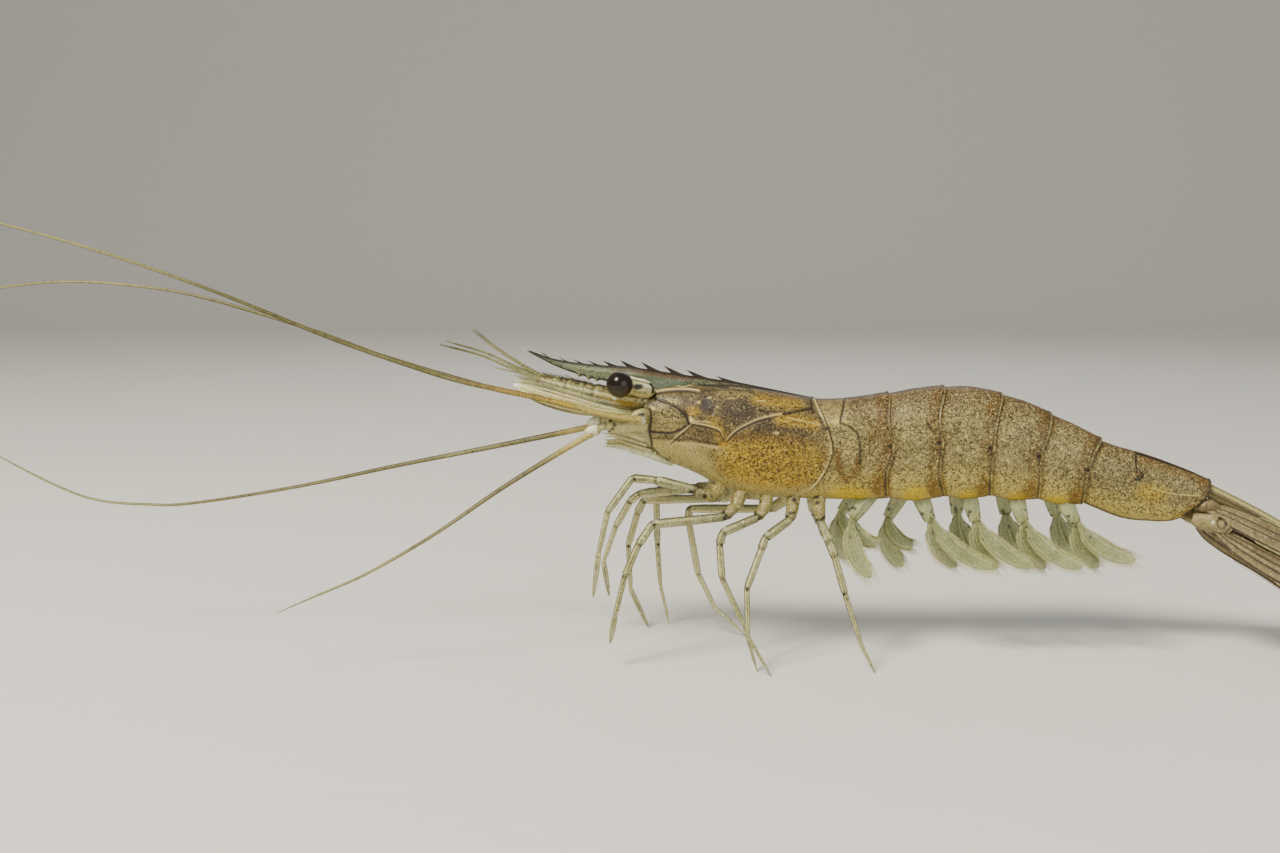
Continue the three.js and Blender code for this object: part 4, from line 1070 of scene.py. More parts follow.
class Bristles(Form):
    """Many fine bristles in one mesh, each with its own small patch of the map."""

    PATCH = 0.003  # the patch's side, on a map that is 1 by 1

    def __init__(self):
        super().__init__()
        self.map = []

    def grow(self, root, way, bend, length, thick, place):
        """One three-sided bristle from root along way, its tip bent aside by bend, with
        its patch of the map at place."""
        t = np.array([0, 0.35, 0.7, 1.0])[:, None]
        path = root + way * length * t + bend * t**2
        radii = thick * (1 - 0.85 * t[:, 0])
        P, _ = rings(path, radii, radii, 3, (0.1, 1, 0.1))
        self.ring_skin(P)
        spread = np.linspace(0, self.PATCH, 4)
        u = place[0] + np.repeat(spread, 3)
        v = place[1] + np.tile(np.linspace(0, self.PATCH, 3), 4)
        ends = [(place[0], place[1]), (place[0] + self.PATCH, place[1])]
        self.map.append(np.clip(np.vstack([np.stack([u, v], -1), ends]), 0, 1))

    def finish(self, name, slot, material=bristle):
        """The finished piece. It replaces no solid."""
        self.make(name, material, slot, unwrap=np.vstack(self.map))


ANTENNULE = (
    (-41.6, 1.6, 41.1), (-42.4, 1.65, 41.2), (-46.5, 1.75, 41.8), (-50.4, 1.85, 42.6),
    (-54.8, 1.95, 43.7), (-58.8, 2.05, 44.8),
)  # fmt: skip
ANTENNULE_JOINTS = (9.0, 13.5)  # how far along it they are
setae = Bristles()
for side, s in SIDES:
    chance = random.Random(11)
    path = smooth_path(on_side(ANTENNULE, s), 150)
    along = length_along(path)
    girth = np.interp(along, [0, 5, 8.9, 13.4, 17.8], [1.25, 1.35, 1.22, 1.05, 0.5])
    girth = girth * joint_creases(along, ANTENNULE_JOINTS)
    P, _ = rings(path, girth * 0.92, girth, 44)
    X, Z = P[..., 0], P[..., 2]
    rise = rise_on(P, path, girth)
    crease = sum(band(along, joint, 0.25) for joint in ANTENNULE_JOINTS)[:, None]
    upper_dots = blots(P, chance, (rise > 0.7) & (along[:, None] > 5.5), 0.24, 46)
    antennule = Form()
    antennule.ring_skin(
        P,
        {
            "brown": upper_dots + 0.5 * crease + 0.8 * blots(P, chance, (X > -44.5) & (rise > 0), 0.3, 14),
            "groove": spot(X, Z, -59.0, 44.9, 0.3, 0.3) + 0.7 * band(rise, -0.9, 0.08),
            "edge": 0.6 * band(rise, 0.55, 0.09) + 0.5 * band(rise, -0.2, 0.07),
            # the gold-brown patch under the eye: its own colour, painted brighter as painted light against
            # the shade over it
            "umber": spot(X, Z, -45.2, 41.3, 2.6, 1.2, 1.5),
            "amber": 0.6 * spot(X, Z, -47.5, 41.8, 3.0, 1.0, 2.0) + 0.35 * ease(rise, 0.3, 0.9),
            "white": 0.75 * band(rise, -0.55, 0.13) * ease(-X, 45, 48)
            + spot(X, Z, -42.8, 42.0, 0.3, 0.3)
            + spot(X, Z, -46.9, 41.9, 0.35, 0.25),
            "pale": 0.6 * ease(rise, -0.2, 0.2) * ease(-rise, -0.55, -0.3),
        },
    )
    antennule.make(f"antennule_{side}_stalk", limb_cuticle, "limb", f"antennule_{side}")
    for t in np.linspace(0.5, 0.97, 44):
        row = int(t * (len(path) - 1))
        root = path[row] + np.array([0, 0, 0.85 * girth[row]])
        way = unit(np.array([-0.9, s * chance.uniform(-0.2, 0.3), 0.55 + 0.3 * chance.random()]))
        place_on_map = (0.1 + 0.8 * t, 0.25 if s < 0 else 0.75)
        setae.grow(root, way, np.array([-0.2, 0, 0.1]), chance.uniform(0.6, 1.5), 0.045, place_on_map)
setae.finish("antennule_setae", "limb", dark_bristle)

feeler_cuticle = cuticle(
    "ringed_feeler_cuticle", "#5f5932", "#46421a", patch=6.0,
    specks=((0.4, -0.12, 0.0, 0.6, "#24150a"),),
    tints=(
        ("gold", 0.92, "~#ac9212"), ("rust", 0.9, "~#622b28"), ("white", 0.92, "~#e7e7b9"),
        ("pale", 0.85, "~#9b985f"), ("cream", 0.92, "~#a3924c"), ("edge", 0.9, "#1e1604"),
    ),
    roughness=0.42,
)  # fmt: skip
WHIP_TIP = 0.16  # radius that a whip thins to, before its very end
BLOTCH = 6.0  # length of the paler and darker stretches of a whip
# Each colour's stretch near the root: where it starts, is full, fades and is gone, and
# where the cream root before it fades and is gone.
ROOT_COLOURS = {
    "gold": ((9, 12, 20, 30), (9, 12)),
    "white": ((0, 0.1, 3, 5), (4, 9)),
    "pale": ((0, 0.1, 8, 15), (0, 1)),
}


def feeler(form, points, root, tip, ring, colour, seed):
    """One whip of rings, each ring long, thinning from radius root to radius tip, with a
    dark line along its upper and its lower side."""
    rough_length = float(length_along(smooth_path(points, 200))[-1])
    path = smooth_path(points, int(rough_length / ring * 4))
    along = length_along(path)
    t = along / along[-1]
    girth = root + (tip - root) * t**0.5
    girth = girth * (1 - 0.55 * ease(t, 0.86, 1.0))
    beat = along / ring
    girth = girth * (0.98 + 0.03 * np.sin(2 * math.pi * beat))
    P, angle = rings(path, girth, girth, 14)
    rise = np.sin(angle) * np.sign((P[:, 3, 2] - path[:, 2])[:, None])
    lot = random.Random(seed)
    tones = np.array([lot.random() for _ in range(int(beat[-1]) + 2)])
    tone = tones[beat.astype(int)][:, None]
    dim = np.array([lot.random() for _ in range(int(along[-1] / BLOTCH) + 3)])
    blotch = np.interp(along / BLOTCH, np.arange(len(dim)), dim)[:, None]
    groove = band(beat, np.round(beat), 0.2)[:, None]
    plain = 0.0 if colour == "gold" else 1.0
    rusty = 0.6 if colour == "gold" else 0.1
    bow = (ease(along, 13, 17) * (1 - ease(along, 24, 34)))[:, None]
    (rise_on, full, fade, gone), (cream_ends, cream_gone) = ROOT_COLOURS[colour]
    base = (ease(along, rise_on, full) * (1 - ease(along, fade, gone)))[:, None]
    line = 0.95 * (rise < -0.55) + (0.6 + 0.4 * plain) * (np.abs(rise - 0.7) < 0.22)
    past_cream = (0.35 + 0.65 * ease(along, cream_ends, cream_gone + 2))[:, None]
    marks = {
        "edge": (line + 0.18 * groove + 0.3 * (tone > 0.85)) * (0.6 + 0.4 * blotch) * past_cream,
        "pale": 0.4 * (rise > 0.92)
        + (0.35 + 0.35 * plain) * (1 - 0.5 * blotch) * (np.abs(rise) < 0.45)
        + 0.7 * ease(t, 0.55, 0.75)[:, None],
        "rust": rusty * bow * (rise > -0.2) + 0.1 * blotch,
        "cream": (1 - ease(along, cream_ends, cream_gone))[:, None],
    }
    marks[colour] = base * (1 - 0.3 * groove)
    form.ring_skin(P, marks)


# A whip's points, its radius at the root and at the tip.
WHIPS = (
    (((-58.2, 2.0, 44.7), (-63, 2.3, 46.5), (-68, 2.9, 48.7), (-74.4, 3.8, 50.5)), 0.26, WHIP_TIP),
    (((-58.0, 1.5, 44.9), (-61.5, 1.3, 46.8), (-65.5, 1.2, 49.4), (-69.5, 1.3, 52.6)), 0.18, 0.11),
    (((-58.2, 2.3, 44.6), (-62, 3.0, 45.9), (-66, 3.8, 46.9)), 0.16, 0.1),
)
for side, s in SIDES:
    whips = Form()
    for number, (points, root, tip) in enumerate(WHIPS):
        feeler(whips, on_side(points, s), root, tip, ring=0.4, colour="pale", seed=4 + number)
    whips.make(f"antennule_whips_{side}", feeler_cuticle, "feeler", f"antennule_flagellum_{side}")

# ---- Antennal scales ---------------------------------------------------------------
# A stiff, clear blade beside each antennule, which steers and guards the head. It grows
# from a swollen base with a spine, and bristles fringe its inner edge.

RIB_HEIGHT = 0.35  # of a blade's thickness


def leaf(form, points, across, half, thick, count, around, ribs, paint):
    """A blade along points: half(t) is its half width and thick its thickness, with
    low ribs at the given places across it, -1 and 1 being its edges. paint is told the
    points, how far along and across they are, and where the ribs and the margin are."""
    path = smooth_path(points, count)
    t = np.linspace(0, 1, count)
    wide = half(t)
    body = thick / 2 * np.minimum(1, wide / thick)
    P, angle = rings(path, wide, body, around, across)
    place = np.cos(angle)
    ridges = sum(band(place, rib, 0.07) for rib in ribs)
    P = P + outward(P) * (RIB_HEIGHT * thick * ridges * ease(wide, 0.3, 1.0)[:, None])[..., None]
    lines = sum(band(place, rib, 0.065) for rib in ribs)
    margin = ease(np.abs(place), 0.8, 0.96)
    form.ring_skin(P, paint(P=P, t=t[:, None], place=place, rib=lines, margin=margin))
    return path, P


scale_cuticle = cuticle(
    "clear_scale_cuticle", "#a49457", "#7a6d41", patch=4.0,
    specks=((0.4, -0.13, 0.05, 0.6, "#30210c"),),
    tints=(
        ("rust", 0.85, "~#6d5525"), ("olive", 0.85, "~#6c6b3f"), ("pale", 0.9, "~#e7e7a9"),
        ("white", 0.92, "#e7e7d8"), ("brown", 0.92, "#1f1108"), ("groove", 0.97, "#1f0a0a"),
    ),
    roughness=0.4, alpha=0.96, flesh=0.15,
)  # fmt: skip

SCALE = (
    (-43.2, 4.3, 39.5), (-46.0, 4.6, 39.7), (-49.2, 4.7, 40.2), (-52.6, 4.7, 40.9),
    (-56.0, 4.5, 41.8), (-59.4, 4.3, 42.9), (-62.8, 4.0, 44.2),
)  # fmt: skip
SCALE_BASE = ((-41.7, 3.5, 39.0), (-42.3, 4.2, 39.1), (-43.2, 4.8, 39.1), (-44.4, 5.1, 38.8))
SCALE_SPINE = ((-42.9, 5.4, 38.7), (-44.2, 5.5, 38.4), (-45.1, 5.4, 38.1))
scale_half = through((0, 0.65), (0.15, 0.85), (0.3, 1.15), (0.5, 1.6), (0.75, 1.6), (0.9, 1.0), (1, 0.3))


def paint_scale(t, place, rib, **_):
    """What an antennal scale is painted with."""
    streak = np.sin(place * 9 + 3 * t) * np.sin(place * 17 + 1.3)
    fine = np.sin(place * 31 + 5 * t)
    return {
        "pale": 0.5 * rib + 0.5 * ease(streak, 0.0, 0.5) + 0.4 * ease(t, 0.75, 0.95),
        "white": 0.8 * ease(t, 0.93, 0.99) + 0.5 * band(place, 0.68, 0.06) * ease(t, 0.2, 0.3),
        "rust": 0.6 * ease(-streak, 0, 0.7) * ease(t, 0.25, 0.5) + 0.25 * ease(fine, 0.3, 0.9),
        "olive": 0.45 * (1 - ease(t, 0.22, 0.45)),
        "brown": 0.6 * band(place, 0.87, 0.09) + 0.5 * ease(-place, 0.88, 0.96),
        "groove": 0.95 * band(place, 0.88, 0.045) * (1 - ease(t, 0.8, 0.95)),
    }


def taper(form, path, root, tip, around, marks):
    """A thin round spine along path, from radius root to radius tip."""
    girth = np.linspace(root, tip, len(path))
    R, _ = rings(path, girth, girth, around)
    form.ring_skin(R, marks)


scale_bristles = Bristles()
for side, s in SIDES:
    scale = Form()
    path, P = leaf(
        scale, on_side(SCALE, s), (0, -s * 0.55, 0.83), scale_half, thick=0.55, count=130,
        around=72, ribs=(-0.55, -0.1, 0.3), paint=paint_scale,
    )  # fmt: skip
    base = smooth_path(on_side(SCALE_BASE, s), 40)
    t = np.linspace(0, 1, len(base))
    girth = np.interp(t, [0, 0.15, 0.4, 0.7, 0.9, 1], [0.9, 1.25, 1.35, 1.15, 0.8, 0.35])
    B, _ = rings(base, girth * 0.75, girth, 40)
    X, Z = B[..., 0], B[..., 2]
    scale.ring_skin(
        B,
        {
            "pale": 0.45 * ease(-X, 41.5, 43.5),
            "olive": 0.35,
            "groove": near(X, Z, [(-43.5, 39.1), (-43.0, 39.5), (-42.4, 39.6)], 0.34),
            "brown": 0.5 * near(X, Z, [(-43.7, 38.2), (-43.9, 39.0), (-43.6, 39.6)], 0.16),
            "white": 0.6 * near(X, Z, [(-42.6, 39.0), (-42.3, 38.4)], 0.3),
        },
    )
    taper(scale, smooth_path(on_side(SCALE_SPINE, s), 14), 0.34, 0.06, 10, {"pale": 0.6})
    scale.make(f"antennal_scale_{side}", scale_cuticle, "swimming_limb", f"scale_{side}")
    chance = random.Random(21)
    for t in np.linspace(0.3, 0.99, 110):
        row = int(t * (len(path) - 1))
        inner = unit(P[row, 0] - path[row])
        way = unit(inner * (0.9 - 0.5 * t) + unit(path[-1] - path[-8]) * (0.5 + 0.8 * t))
        bend = np.array([-0.3, -s * 0.1, chance.uniform(-0.1, 0.1)])
        place_on_map = (0.1 + 0.8 * t, 0.25 if s < 0 else 0.75)
        scale_bristles.grow(P[row, 0], way, bend, 1.4 * chance.uniform(0.8, 1.1), 0.04, place_on_map)
scale_bristles.finish("scale_bristles", "swimming_limb")

# ---- Long feelers ------------------------------------------------------------------
# Four long ringed whips. The upper pair leaves from under the scales, up and forward.
# The lower pair leaves from a short stalk of clear segments with white joints.

FEELERS = {
    "antenna_upper_left": (
        (-42.8, -5.5, 38.8), (-46.4, -6.3, 39.3), (-49.6, -6.6, 40.0), (-54.4, -6.6, 41.3),
        (-59.6, -6.4, 42.5), (-64.7, -6.4, 43.6), (-70.9, -6.6, 45.0), (-77.1, -6.9, 46.9),
        (-90.3, -7.5, 51.6), (-109.9, -9.5, 59.8), (-129, -11.5, 66.5), (-156.5, -14.5, 74.1),
    ),
    "antenna_upper_right": (
        (-42.8, 5.5, 38.8), (-46.4, 6.3, 39.2), (-49.6, 6.6, 39.6), (-54.9, 6.7, 40.5),
        (-60.5, 6.5, 41.4), (-67.1, 6.5, 42.5), (-84.7, 7.4, 47.6), (-98.1, 8.8, 52.3),
        (-116.6, 12, 57.4), (-128.5, 14, 59.2), (-140.4, 16, 59.8), (-153, 18.5, 58.7),
        (-164.6, 21, 56.5),
    ),
    "antenna_lower_left": (
        (-50.5, -6.0, 36.6), (-51.5, -6.3, 36.1), (-57.5, -7.2, 32.6), (-64.7, -8.4, 28.2),
        (-75, -10, 21.3), (-85.2, -11.4, 15.5), (-93.4, -12.3, 12.0), (-99, -12.8, 9.6),
    ),
    "antenna_lower_right": (
        (-50.5, 5.8, 36.5), (-51.7, 6.0, 36.1), (-66.2, 7.6, 32.9), (-83.3, 9.3, 29.3),
        (-100.5, 10.6, 25.5), (-117.9, 11.8, 22.5), (-126.7, 12.4, 22.0), (-138.4, 13.2, 23.3),
        (-152.8, 14.4, 30.0), (-158, 15, 34.0),
    ),
}  # fmt: skip
for number, (name, points) in enumerate(FEELERS.items()):
    root, colour = (0.65, "gold") if "upper" in name else (0.6, "white")
    long_feeler = Form()
    feeler(long_feeler, points, root, WHIP_TIP, ring=0.5, colour=colour, seed=30 + number)
    long_feeler.make(name.replace("antenna", "feeler"), feeler_cuticle, "feeler", name)

FEELER_STALK = (
    (-41.9, 3.5, 37.6), (-42.9, 3.9, 37.6), (-44.6, 4.6, 37.7), (-46.4, 4.9, 37.7),
    (-48.0, 5.1, 37.8), (-48.6, 5.3, 37.7), (-49.4, 5.5, 37.4), (-50.2, 5.7, 37.1),
    (-51.0, 5.9, 36.8), (-51.3, 6.0, 36.6),
)  # fmt: skip
STALK_SPOTS = (  # x, z and radius
    (-47.5, 38.7, 0.3), (-46.9, 38.0, 0.33), (-47.2, 37.4, 0.28), (-47.7, 37.0, 0.24),
    (-50.5, 36.6, 0.25),
)  # fmt: skip
for side, s in SIDES:
    path = smooth_path(on_side(FEELER_STALK, s), 110)
    girth = np.interp(
        -path[:, 0], [41.9, 44.6, 46.4, 47.9, 48.3, 49.2, 49.6, 50.3, 50.9, 51.3],
        [0.8, 0.95, 0.9, 1.1, 0.62, 0.6, 0.85, 0.95, 0.8, 0.55],
    )  # fmt: skip
    P, _ = rings(path, girth, girth, 36)
    X, Z = P[..., 0], P[..., 2]
    stalk = Form()
    stalk.ring_skin(
        P,
        {
            "brown": sum(spot(X, Z, x, z, size, size) for x, z, size in STALK_SPOTS),
            "amber": 0.6 * ease(-X, 45.6, 46.4) * ease(X, -48.5, -47.9),
            "pale": 0.35,
            "edge": 0.5 * band(X, -48.35, 0.16) + 0.4 * band(X, -49.4, 0.14),
            "white": 0.6 * ease(-X, 49.4, 49.8),
            "olive": 0.9 * ease(X, -46.2, -45.4),
        },
    )
    stalk.make(f"feeler_stalk_{side}", limb_cuticle, "limb", f"antenna_stalk_{side}")

# ---- Mouth -------------------------------------------------------------------------
# The jaws and their feeding limbs form one clear, yellowish bulge under the antennae.
# The last pair, the long maxillipeds, lies along its lower edge, fringed with hairs.

mouth_x = np.linspace(-40.6, -48.0, 80)  # from the carapace to its front end
mouth_top = through((-48.0, 36.7), (-46.2, 38.0), (-44.8, 38.5), (-43.3, 38.7), (-40.6, 38.8))(mouth_x)
mouth_low = through((-48.0, 35.9), (-46.2, 34.7), (-44.8, 34.0), (-43.3, 33.4), (-40.6, 32.8))(mouth_x)
mouth_wide = through((-48.0, 0.4), (-46.2, 2.0), (-44.8, 2.7), (-43.3, 3.0), (-40.6, 3.2))(mouth_x)
path = np.stack([mouth_x, 0 * mouth_x, (mouth_top + mouth_low) / 2], -1)
P, _ = rings(path, mouth_wide, (mouth_top - mouth_low) / 2, 90)
plies = 0.1 * np.sin(P[..., 2] * 3.4 + P[..., 0] * 1.3) * ease(-P[..., 0], 41, 43)
P = P + outward(P) * plies[..., None]
mouth = Form()
mouth.ring_skin(
    P,
    {
        # Painted light: the bulge is painted paler overall against the shade of the head over it, paler still
        # on its raised folds, and darker in its deepest sunken folds as painted shade.
        "pale": 0.7 + 2.0 * plies,
        "olive": 0.5,
        "edge": 0.15 * ease(-plies, 0.06, 0.095),
        "brown": 0.35 * blots(P, random.Random(33), True, 0.15, 16),
    },
)
mouth.make("mouthparts_bulge", limb_cuticle, "limb", "mouthparts")

MAXILLIPED = (
    (-37.5, 2.2, 31.6), (-40.0, 2.3, 32.5), (-42.9, 2.3, 33.4), (-45.4, 2.0, 34.1),
    (-48.2, 1.6, 34.3),
)  # fmt: skip
PALP_ROOT = 0.3  # radius
PALPS = (
    ((-41.0, 2.7, 33.4), (-44.0, 2.9, 34.4), (-46.4, 2.5, 35.1), (-48.4, 2.1, 35.1)),
    ((-41.8, 3.0, 34.4), (-45.0, 3.0, 35.4), (-47.2, 2.5, 36.1), (-48.9, 2.2, 36.2)),
)
mouth_bristles = Bristles()
for side, s in SIDES:
    chance = random.Random(31)
    limbs = Form()
    path = smooth_path(on_side(MAXILLIPED, s), 120)
    along = length_along(path)
    girth = np.interp(along, [0, 2.6, 6, 9, 11.4], [0.8, 0.8, 0.66, 0.5, 0.22])
    girth = girth * joint_creases(along, (3.6, 7.4))
    P, _ = rings(path, girth * 0.8, girth, 28)
    rise = rise_on(P, path, girth)
    limbs.ring_skin(
        P,
        {
            "white": 0.6 * band(rise, -0.35, 0.25),
            "olive": 0.7 * ease(rise, -0.2, 0.2),
            "pale": 0.5,
            "edge": 0.25 * ease(-rise, 0.75, 0.92),
            "brown": 0.4 * blots(P, chance, True, 0.2, 9),
        },
    )
    for palp in PALPS:
        palp_path = smooth_path(on_side(palp, s), 60)
        thin = np.linspace(PALP_ROOT, 0.08, len(palp_path))
        B, _ = rings(palp_path, thin, thin, 14)
        rise = (B[..., 2] - palp_path[:, None, 2]) / PALP_ROOT
        limbs.ring_skin(B, {"olive": 0.6, "pale": 0.5, "white": 0.4 * ease(-rise, 0.2, 0.7)})
    limbs.make(f"maxilliped_{side}_limb", limb_cuticle, "limb", f"maxilliped_{side}")
    for k, t in enumerate(np.linspace(0.45, 0.99, 80)):
        row = int(t * (len(path) - 1))
        way = unit(np.array([-0.6 - 0.5 * t, s * chance.uniform(-0.35, 0.35), -0.75 if k % 3 else 0.6]))
        reach = chance.uniform(0.5, 1.0) + girth[row]
        place_on_map = (0.1 + 0.8 * t, 0.3 if s < 0 else 0.7)
        mouth_bristles.grow(path[row], way, np.array([-0.25, 0, 0.1]), reach, 0.03, place_on_map)
mouth_bristles.finish("mouth_bristles", "limb")

# ---- Walking legs ------------------------------------------------------------------
# Ten slender legs of clear tube-like segments, each with dark freckles at its joints.
# The first two pairs end in fine pincers, and the rest in a single curved claw.

# Hip, ends of the coxa and ischium, knee, ends of the carpus and propodus, and two
# points of the last segment: x, distance from the middle plane, and height.
LEGS = {
    "leg_1_left": (
        (-30.2, 3.4, 27.6), (-31.6, 4.6, 26.4), (-34.5, 6.2, 27.8), (-40.6, 8.0, 29.6),
        (-44.1, 9.0, 30.1), (-47.9, 10.0, 25.0), (-49.3, 10.5, 18.7), (-50.2, 11.0, 11.6),
    ),
    "leg_2_left": (
        (-26.6, 3.6, 27.2), (-27.6, 4.7, 25.0), (-29.6, 6.2, 23.4), (-41.0, 10.0, 23.0),
        (-43.2, 10.7, 19.8), (-45.3, 11.0, 14.9), (-46.8, 10.5, 8.5), (-47.6, 10.0, 4.0),
    ),
    "leg_3_left": (
        (-22.6, 3.6, 26.8), (-23.1, 4.7, 24.6), (-24.4, 5.8, 23.2), (-30.0, 9.0, 21.5),
        (-30.5, 9.4, 19.6), (-30.1, 10.2, 14.4), (-26.7, 11.5, 7.2), (-24.7, 12.2, 0),
    ),
    "leg_4_left": (
        (-18.4, 3.6, 26.6), (-18.7, 4.7, 24.4), (-19.2, 5.5, 22.8), (-23.4, 9.2, 20.6),
        (-24.0, 9.9, 19.0), (-26.4, 12.4, 13.4), (-26.3, 14.0, 6.2), (-22.8, 14.6, 0),
    ),
    "leg_5_left": (
        (-14.4, 3.4, 26.8), (-14.4, 4.4, 24.4), (-14.3, 5.2, 22.6), (-13.1, 7.4, 19.6),
        (-12.4, 8.4, 17.6), (-10.9, 10.2, 12.0), (-8.6, 12.0, 4.6), (-6.5, 12.8, 0),
    ),
    "leg_1_right": (
        (-30.0, 3.4, 27.6), (-31.2, 4.5, 26.2), (-33.6, 5.6, 26.0), (-43.0, 7.0, 24.8),
        (-44.6, 7.6, 23.4), (-47.0, 8.8, 18.9), (-49.1, 10.2, 12.5), (-48.2, 11.5, 6.2),
    ),
    "leg_2_right": (
        (-26.4, 3.6, 27.2), (-27.4, 4.9, 25.0), (-29.4, 6.4, 24.2), (-42.3, 10.5, 23.1),
        (-43.3, 11.0, 20.8), (-44.9, 12.0, 15.0), (-44.5, 13.0, 7.0), (-41.5, 13.6, 0),
    ),
    "leg_3_right": (
        (-22.4, 3.6, 26.8), (-23.1, 5.4, 25.0), (-25.2, 7.8, 24.6), (-39.4, 12.5, 25.0),
        (-40.1, 13.0, 23.2), (-39.9, 14.0, 15.0), (-39.4, 15.0, 7.5), (-37.8, 15.8, 0),
    ),
    "leg_4_right": (
        (-18.2, 3.6, 26.6), (-18.8, 5.0, 24.2), (-21.0, 6.4, 22.4), (-34.6, 9.0, 21.9),
        (-34.7, 9.3, 19.8), (-33.0, 9.8, 10.5), (-30.2, 9.4, 4.8), (-25.0, 8.0, 0),
    ),
    "leg_5_right": (
        (-14.4, 3.4, 26.8), (-14.4, 4.6, 24.2), (-13.9, 6.2, 22.0), (-12.5, 8.8, 19.4),
        (-11.6, 9.8, 17.2), (-9.3, 12.0, 12.2), (-6.8, 14.0, 4.2), (-5.3, 14.4, 0),
    ),
}  # fmt: skip
LEG_RADII = (1.25, 1.05, 0.86, 0.78, 0.7, 0.58, 0.4, 0.2)  # at each of those points
PINCER_END = 0.34  # radius of the palm where the fingers start
WAIST = 0.84  # a segment is this much thinner where it starts
SEGMENT_END = 0.82  # how far along a segment its waist's taper ends
STOUT_THIGH = 1.12  # the first pair is this much stouter up to the knee
ROUNDING = 0.4  # how far from a joint its bend starts
# A pincer's finger: how far along the last segment, and how far from its middle line.
FINGER = ((0.02, 0.15), (0.35, 0.24), (0.7, 0.2), (0.99, 0.07))
FOOT_REST = 0.26  # height of a standing leg's last point, on the middle line of its tip


def bent_path(points, reach, count):
    """count points evenly spaced along straight lines through the given ones, each
    corner rounded off from reach before it to reach after it."""
    P = np.array(points, float)
    route = [P[0]]
    for before, joint, after in zip(P, P[1:], P[2:]):
        a, b = (
            joint + (far - joint) * min(0.4, reach / np.linalg.norm(far - joint))
            for far in (before, after)
        )
        route += [(1 - t) ** 2 * a + 2 * t * (1 - t) * joint + t**2 * b for t in (0, 0.25, 0.5, 0.75, 1)]
    route.append(P[-1])
    return resample(np.array(route), count)


for number, (name, joints) in enumerate(LEGS.items()):
    s = -1 if name.endswith("left") else 1
    pincer = name[4] in "12"
    J = np.array([(x, s * y, max(z, FOOT_REST)) for x, y, z in joints])
    chance = random.Random(40 + number)
    points = [J[0] + np.array([0, 0, 1.2]), *J]
    if pincer:
        points[-1] = J[6] + (J[7] - J[6]) * 0.12
    total = float(np.linalg.norm(np.diff(J, axis=0), axis=1).sum())
    path = bent_path(points, ROUNDING, int(total / 0.18))
    along = length_along(path)
    at_joint = [along[np.argmin(np.linalg.norm(path - joint, axis=1))] for joint in J[:7]]
    stops = [*at_joint, along[-1]]
    radii = [*LEG_RADII[:7], PINCER_END if pincer else LEG_RADII[7]]
    places, sizes = [0.0], [radii[0]]
    for i, (start, end) in enumerate(zip(stops, stops[1:])):
        stout = STOUT_THIGH if name[4] == "1" and i < 3 else 1.0
        places += [start + 0.06, start + SEGMENT_END * (end - start)]
        waist = 1.0 if i < 2 else WAIST
        thinned = radii[i] + SEGMENT_END * (radii[i + 1] - radii[i])
        sizes += [radii[i] * waist * stout, thinned * stout]
    girth = np.interp(along, [*places, along[-1]], [*sizes, radii[-1]])
    girth = girth * joint_creases(along, at_joint[2:6], 0.09, 0.2)
    if not pincer:
        girth = girth * (1 - 0.45 * ease(along, along[-1] - 2.2, along[-1]))
    R, angle = rings(path, girth, girth * 0.94, 28)
    at = along[:, None] + 0 * angle
    side_on = np.abs(np.sin(angle))
    freckle = sum(band(at, joint, 0.28) for joint in at_joint[2:6])
    hip_spots = blots(R, chance, at < at_joint[2] + 1.0, 0.33, 14)
    leg = Form()
    leg.ring_skin(
        R,
        {
            "groove": hip_spots + blots(R, chance, freckle > 0.1, 0.24, 12),
            "brown": 0.8 * blots(R, chance, at > 0, 0.15, 24) + 0.45 * freckle,
            "amber": 0.5 * ease(-at, -at_joint[2] - 1, -at_joint[1]) + 0.35 * freckle,
            # The dark lines along the upper and lower sides are painted shade: the darkening seen at the
            # edges of a clear tube. The rings at the joints are pigment.
            "edge": 0.85 * ease(side_on, 0.82, 0.92) * ease(at, at_joint[1], at_joint[2])
            + 0.45 * sum(band(at, joint, 0.12) for joint in at_joint[2:6]),
            # The far legs are painted paler: painted light that offsets the shade they stand in.
            "pale": 0.6 * band(side_on, 0.5, 0.18) * ease(at, at_joint[2], at_joint[3])
            + (0.35 if s > 0 else 0),
            "white": 0.5 * band(at - at_joint[3], -0.5, 0.3) * ease(side_on, 0.5, 0.9),
        },
    )
    if pincer:
        way = J[7] - J[6]
        out = unit(np.cross(way, np.array([0.3, 1.0, 0.2])))
        for open_way in (-1, 1):
            aside = out * open_way
            finger = smooth_path([J[6] + way * part + aside * gap for part, gap in FINGER], 46)
            t = np.linspace(0, 1, len(finger))
            thin = np.interp(t, [0, 0.3, 0.8, 1], [0.28, 0.24, 0.16, 0.08])
            R, turn = rings(finger, thin, thin, 14)
            # The dark lines along the fingers' upper and lower sides are painted shade at the edges of a
            # clear tube.
            leg.ring_skin(R, {"edge": 0.8 * ease(np.abs(np.sin(turn)), 0.7, 0.9), "pale": 0.3})
    leg.make(name.replace("leg", "walking_leg"), limb_cuticle, "limb", name)

# ---- Swimming limbs ----------------------------------------------------------------
# Under each of the first five plates hangs a pair of pleopods: a flat stem, and two
# clear ribbed leaves fringed with long hairs, swept back as they beat.

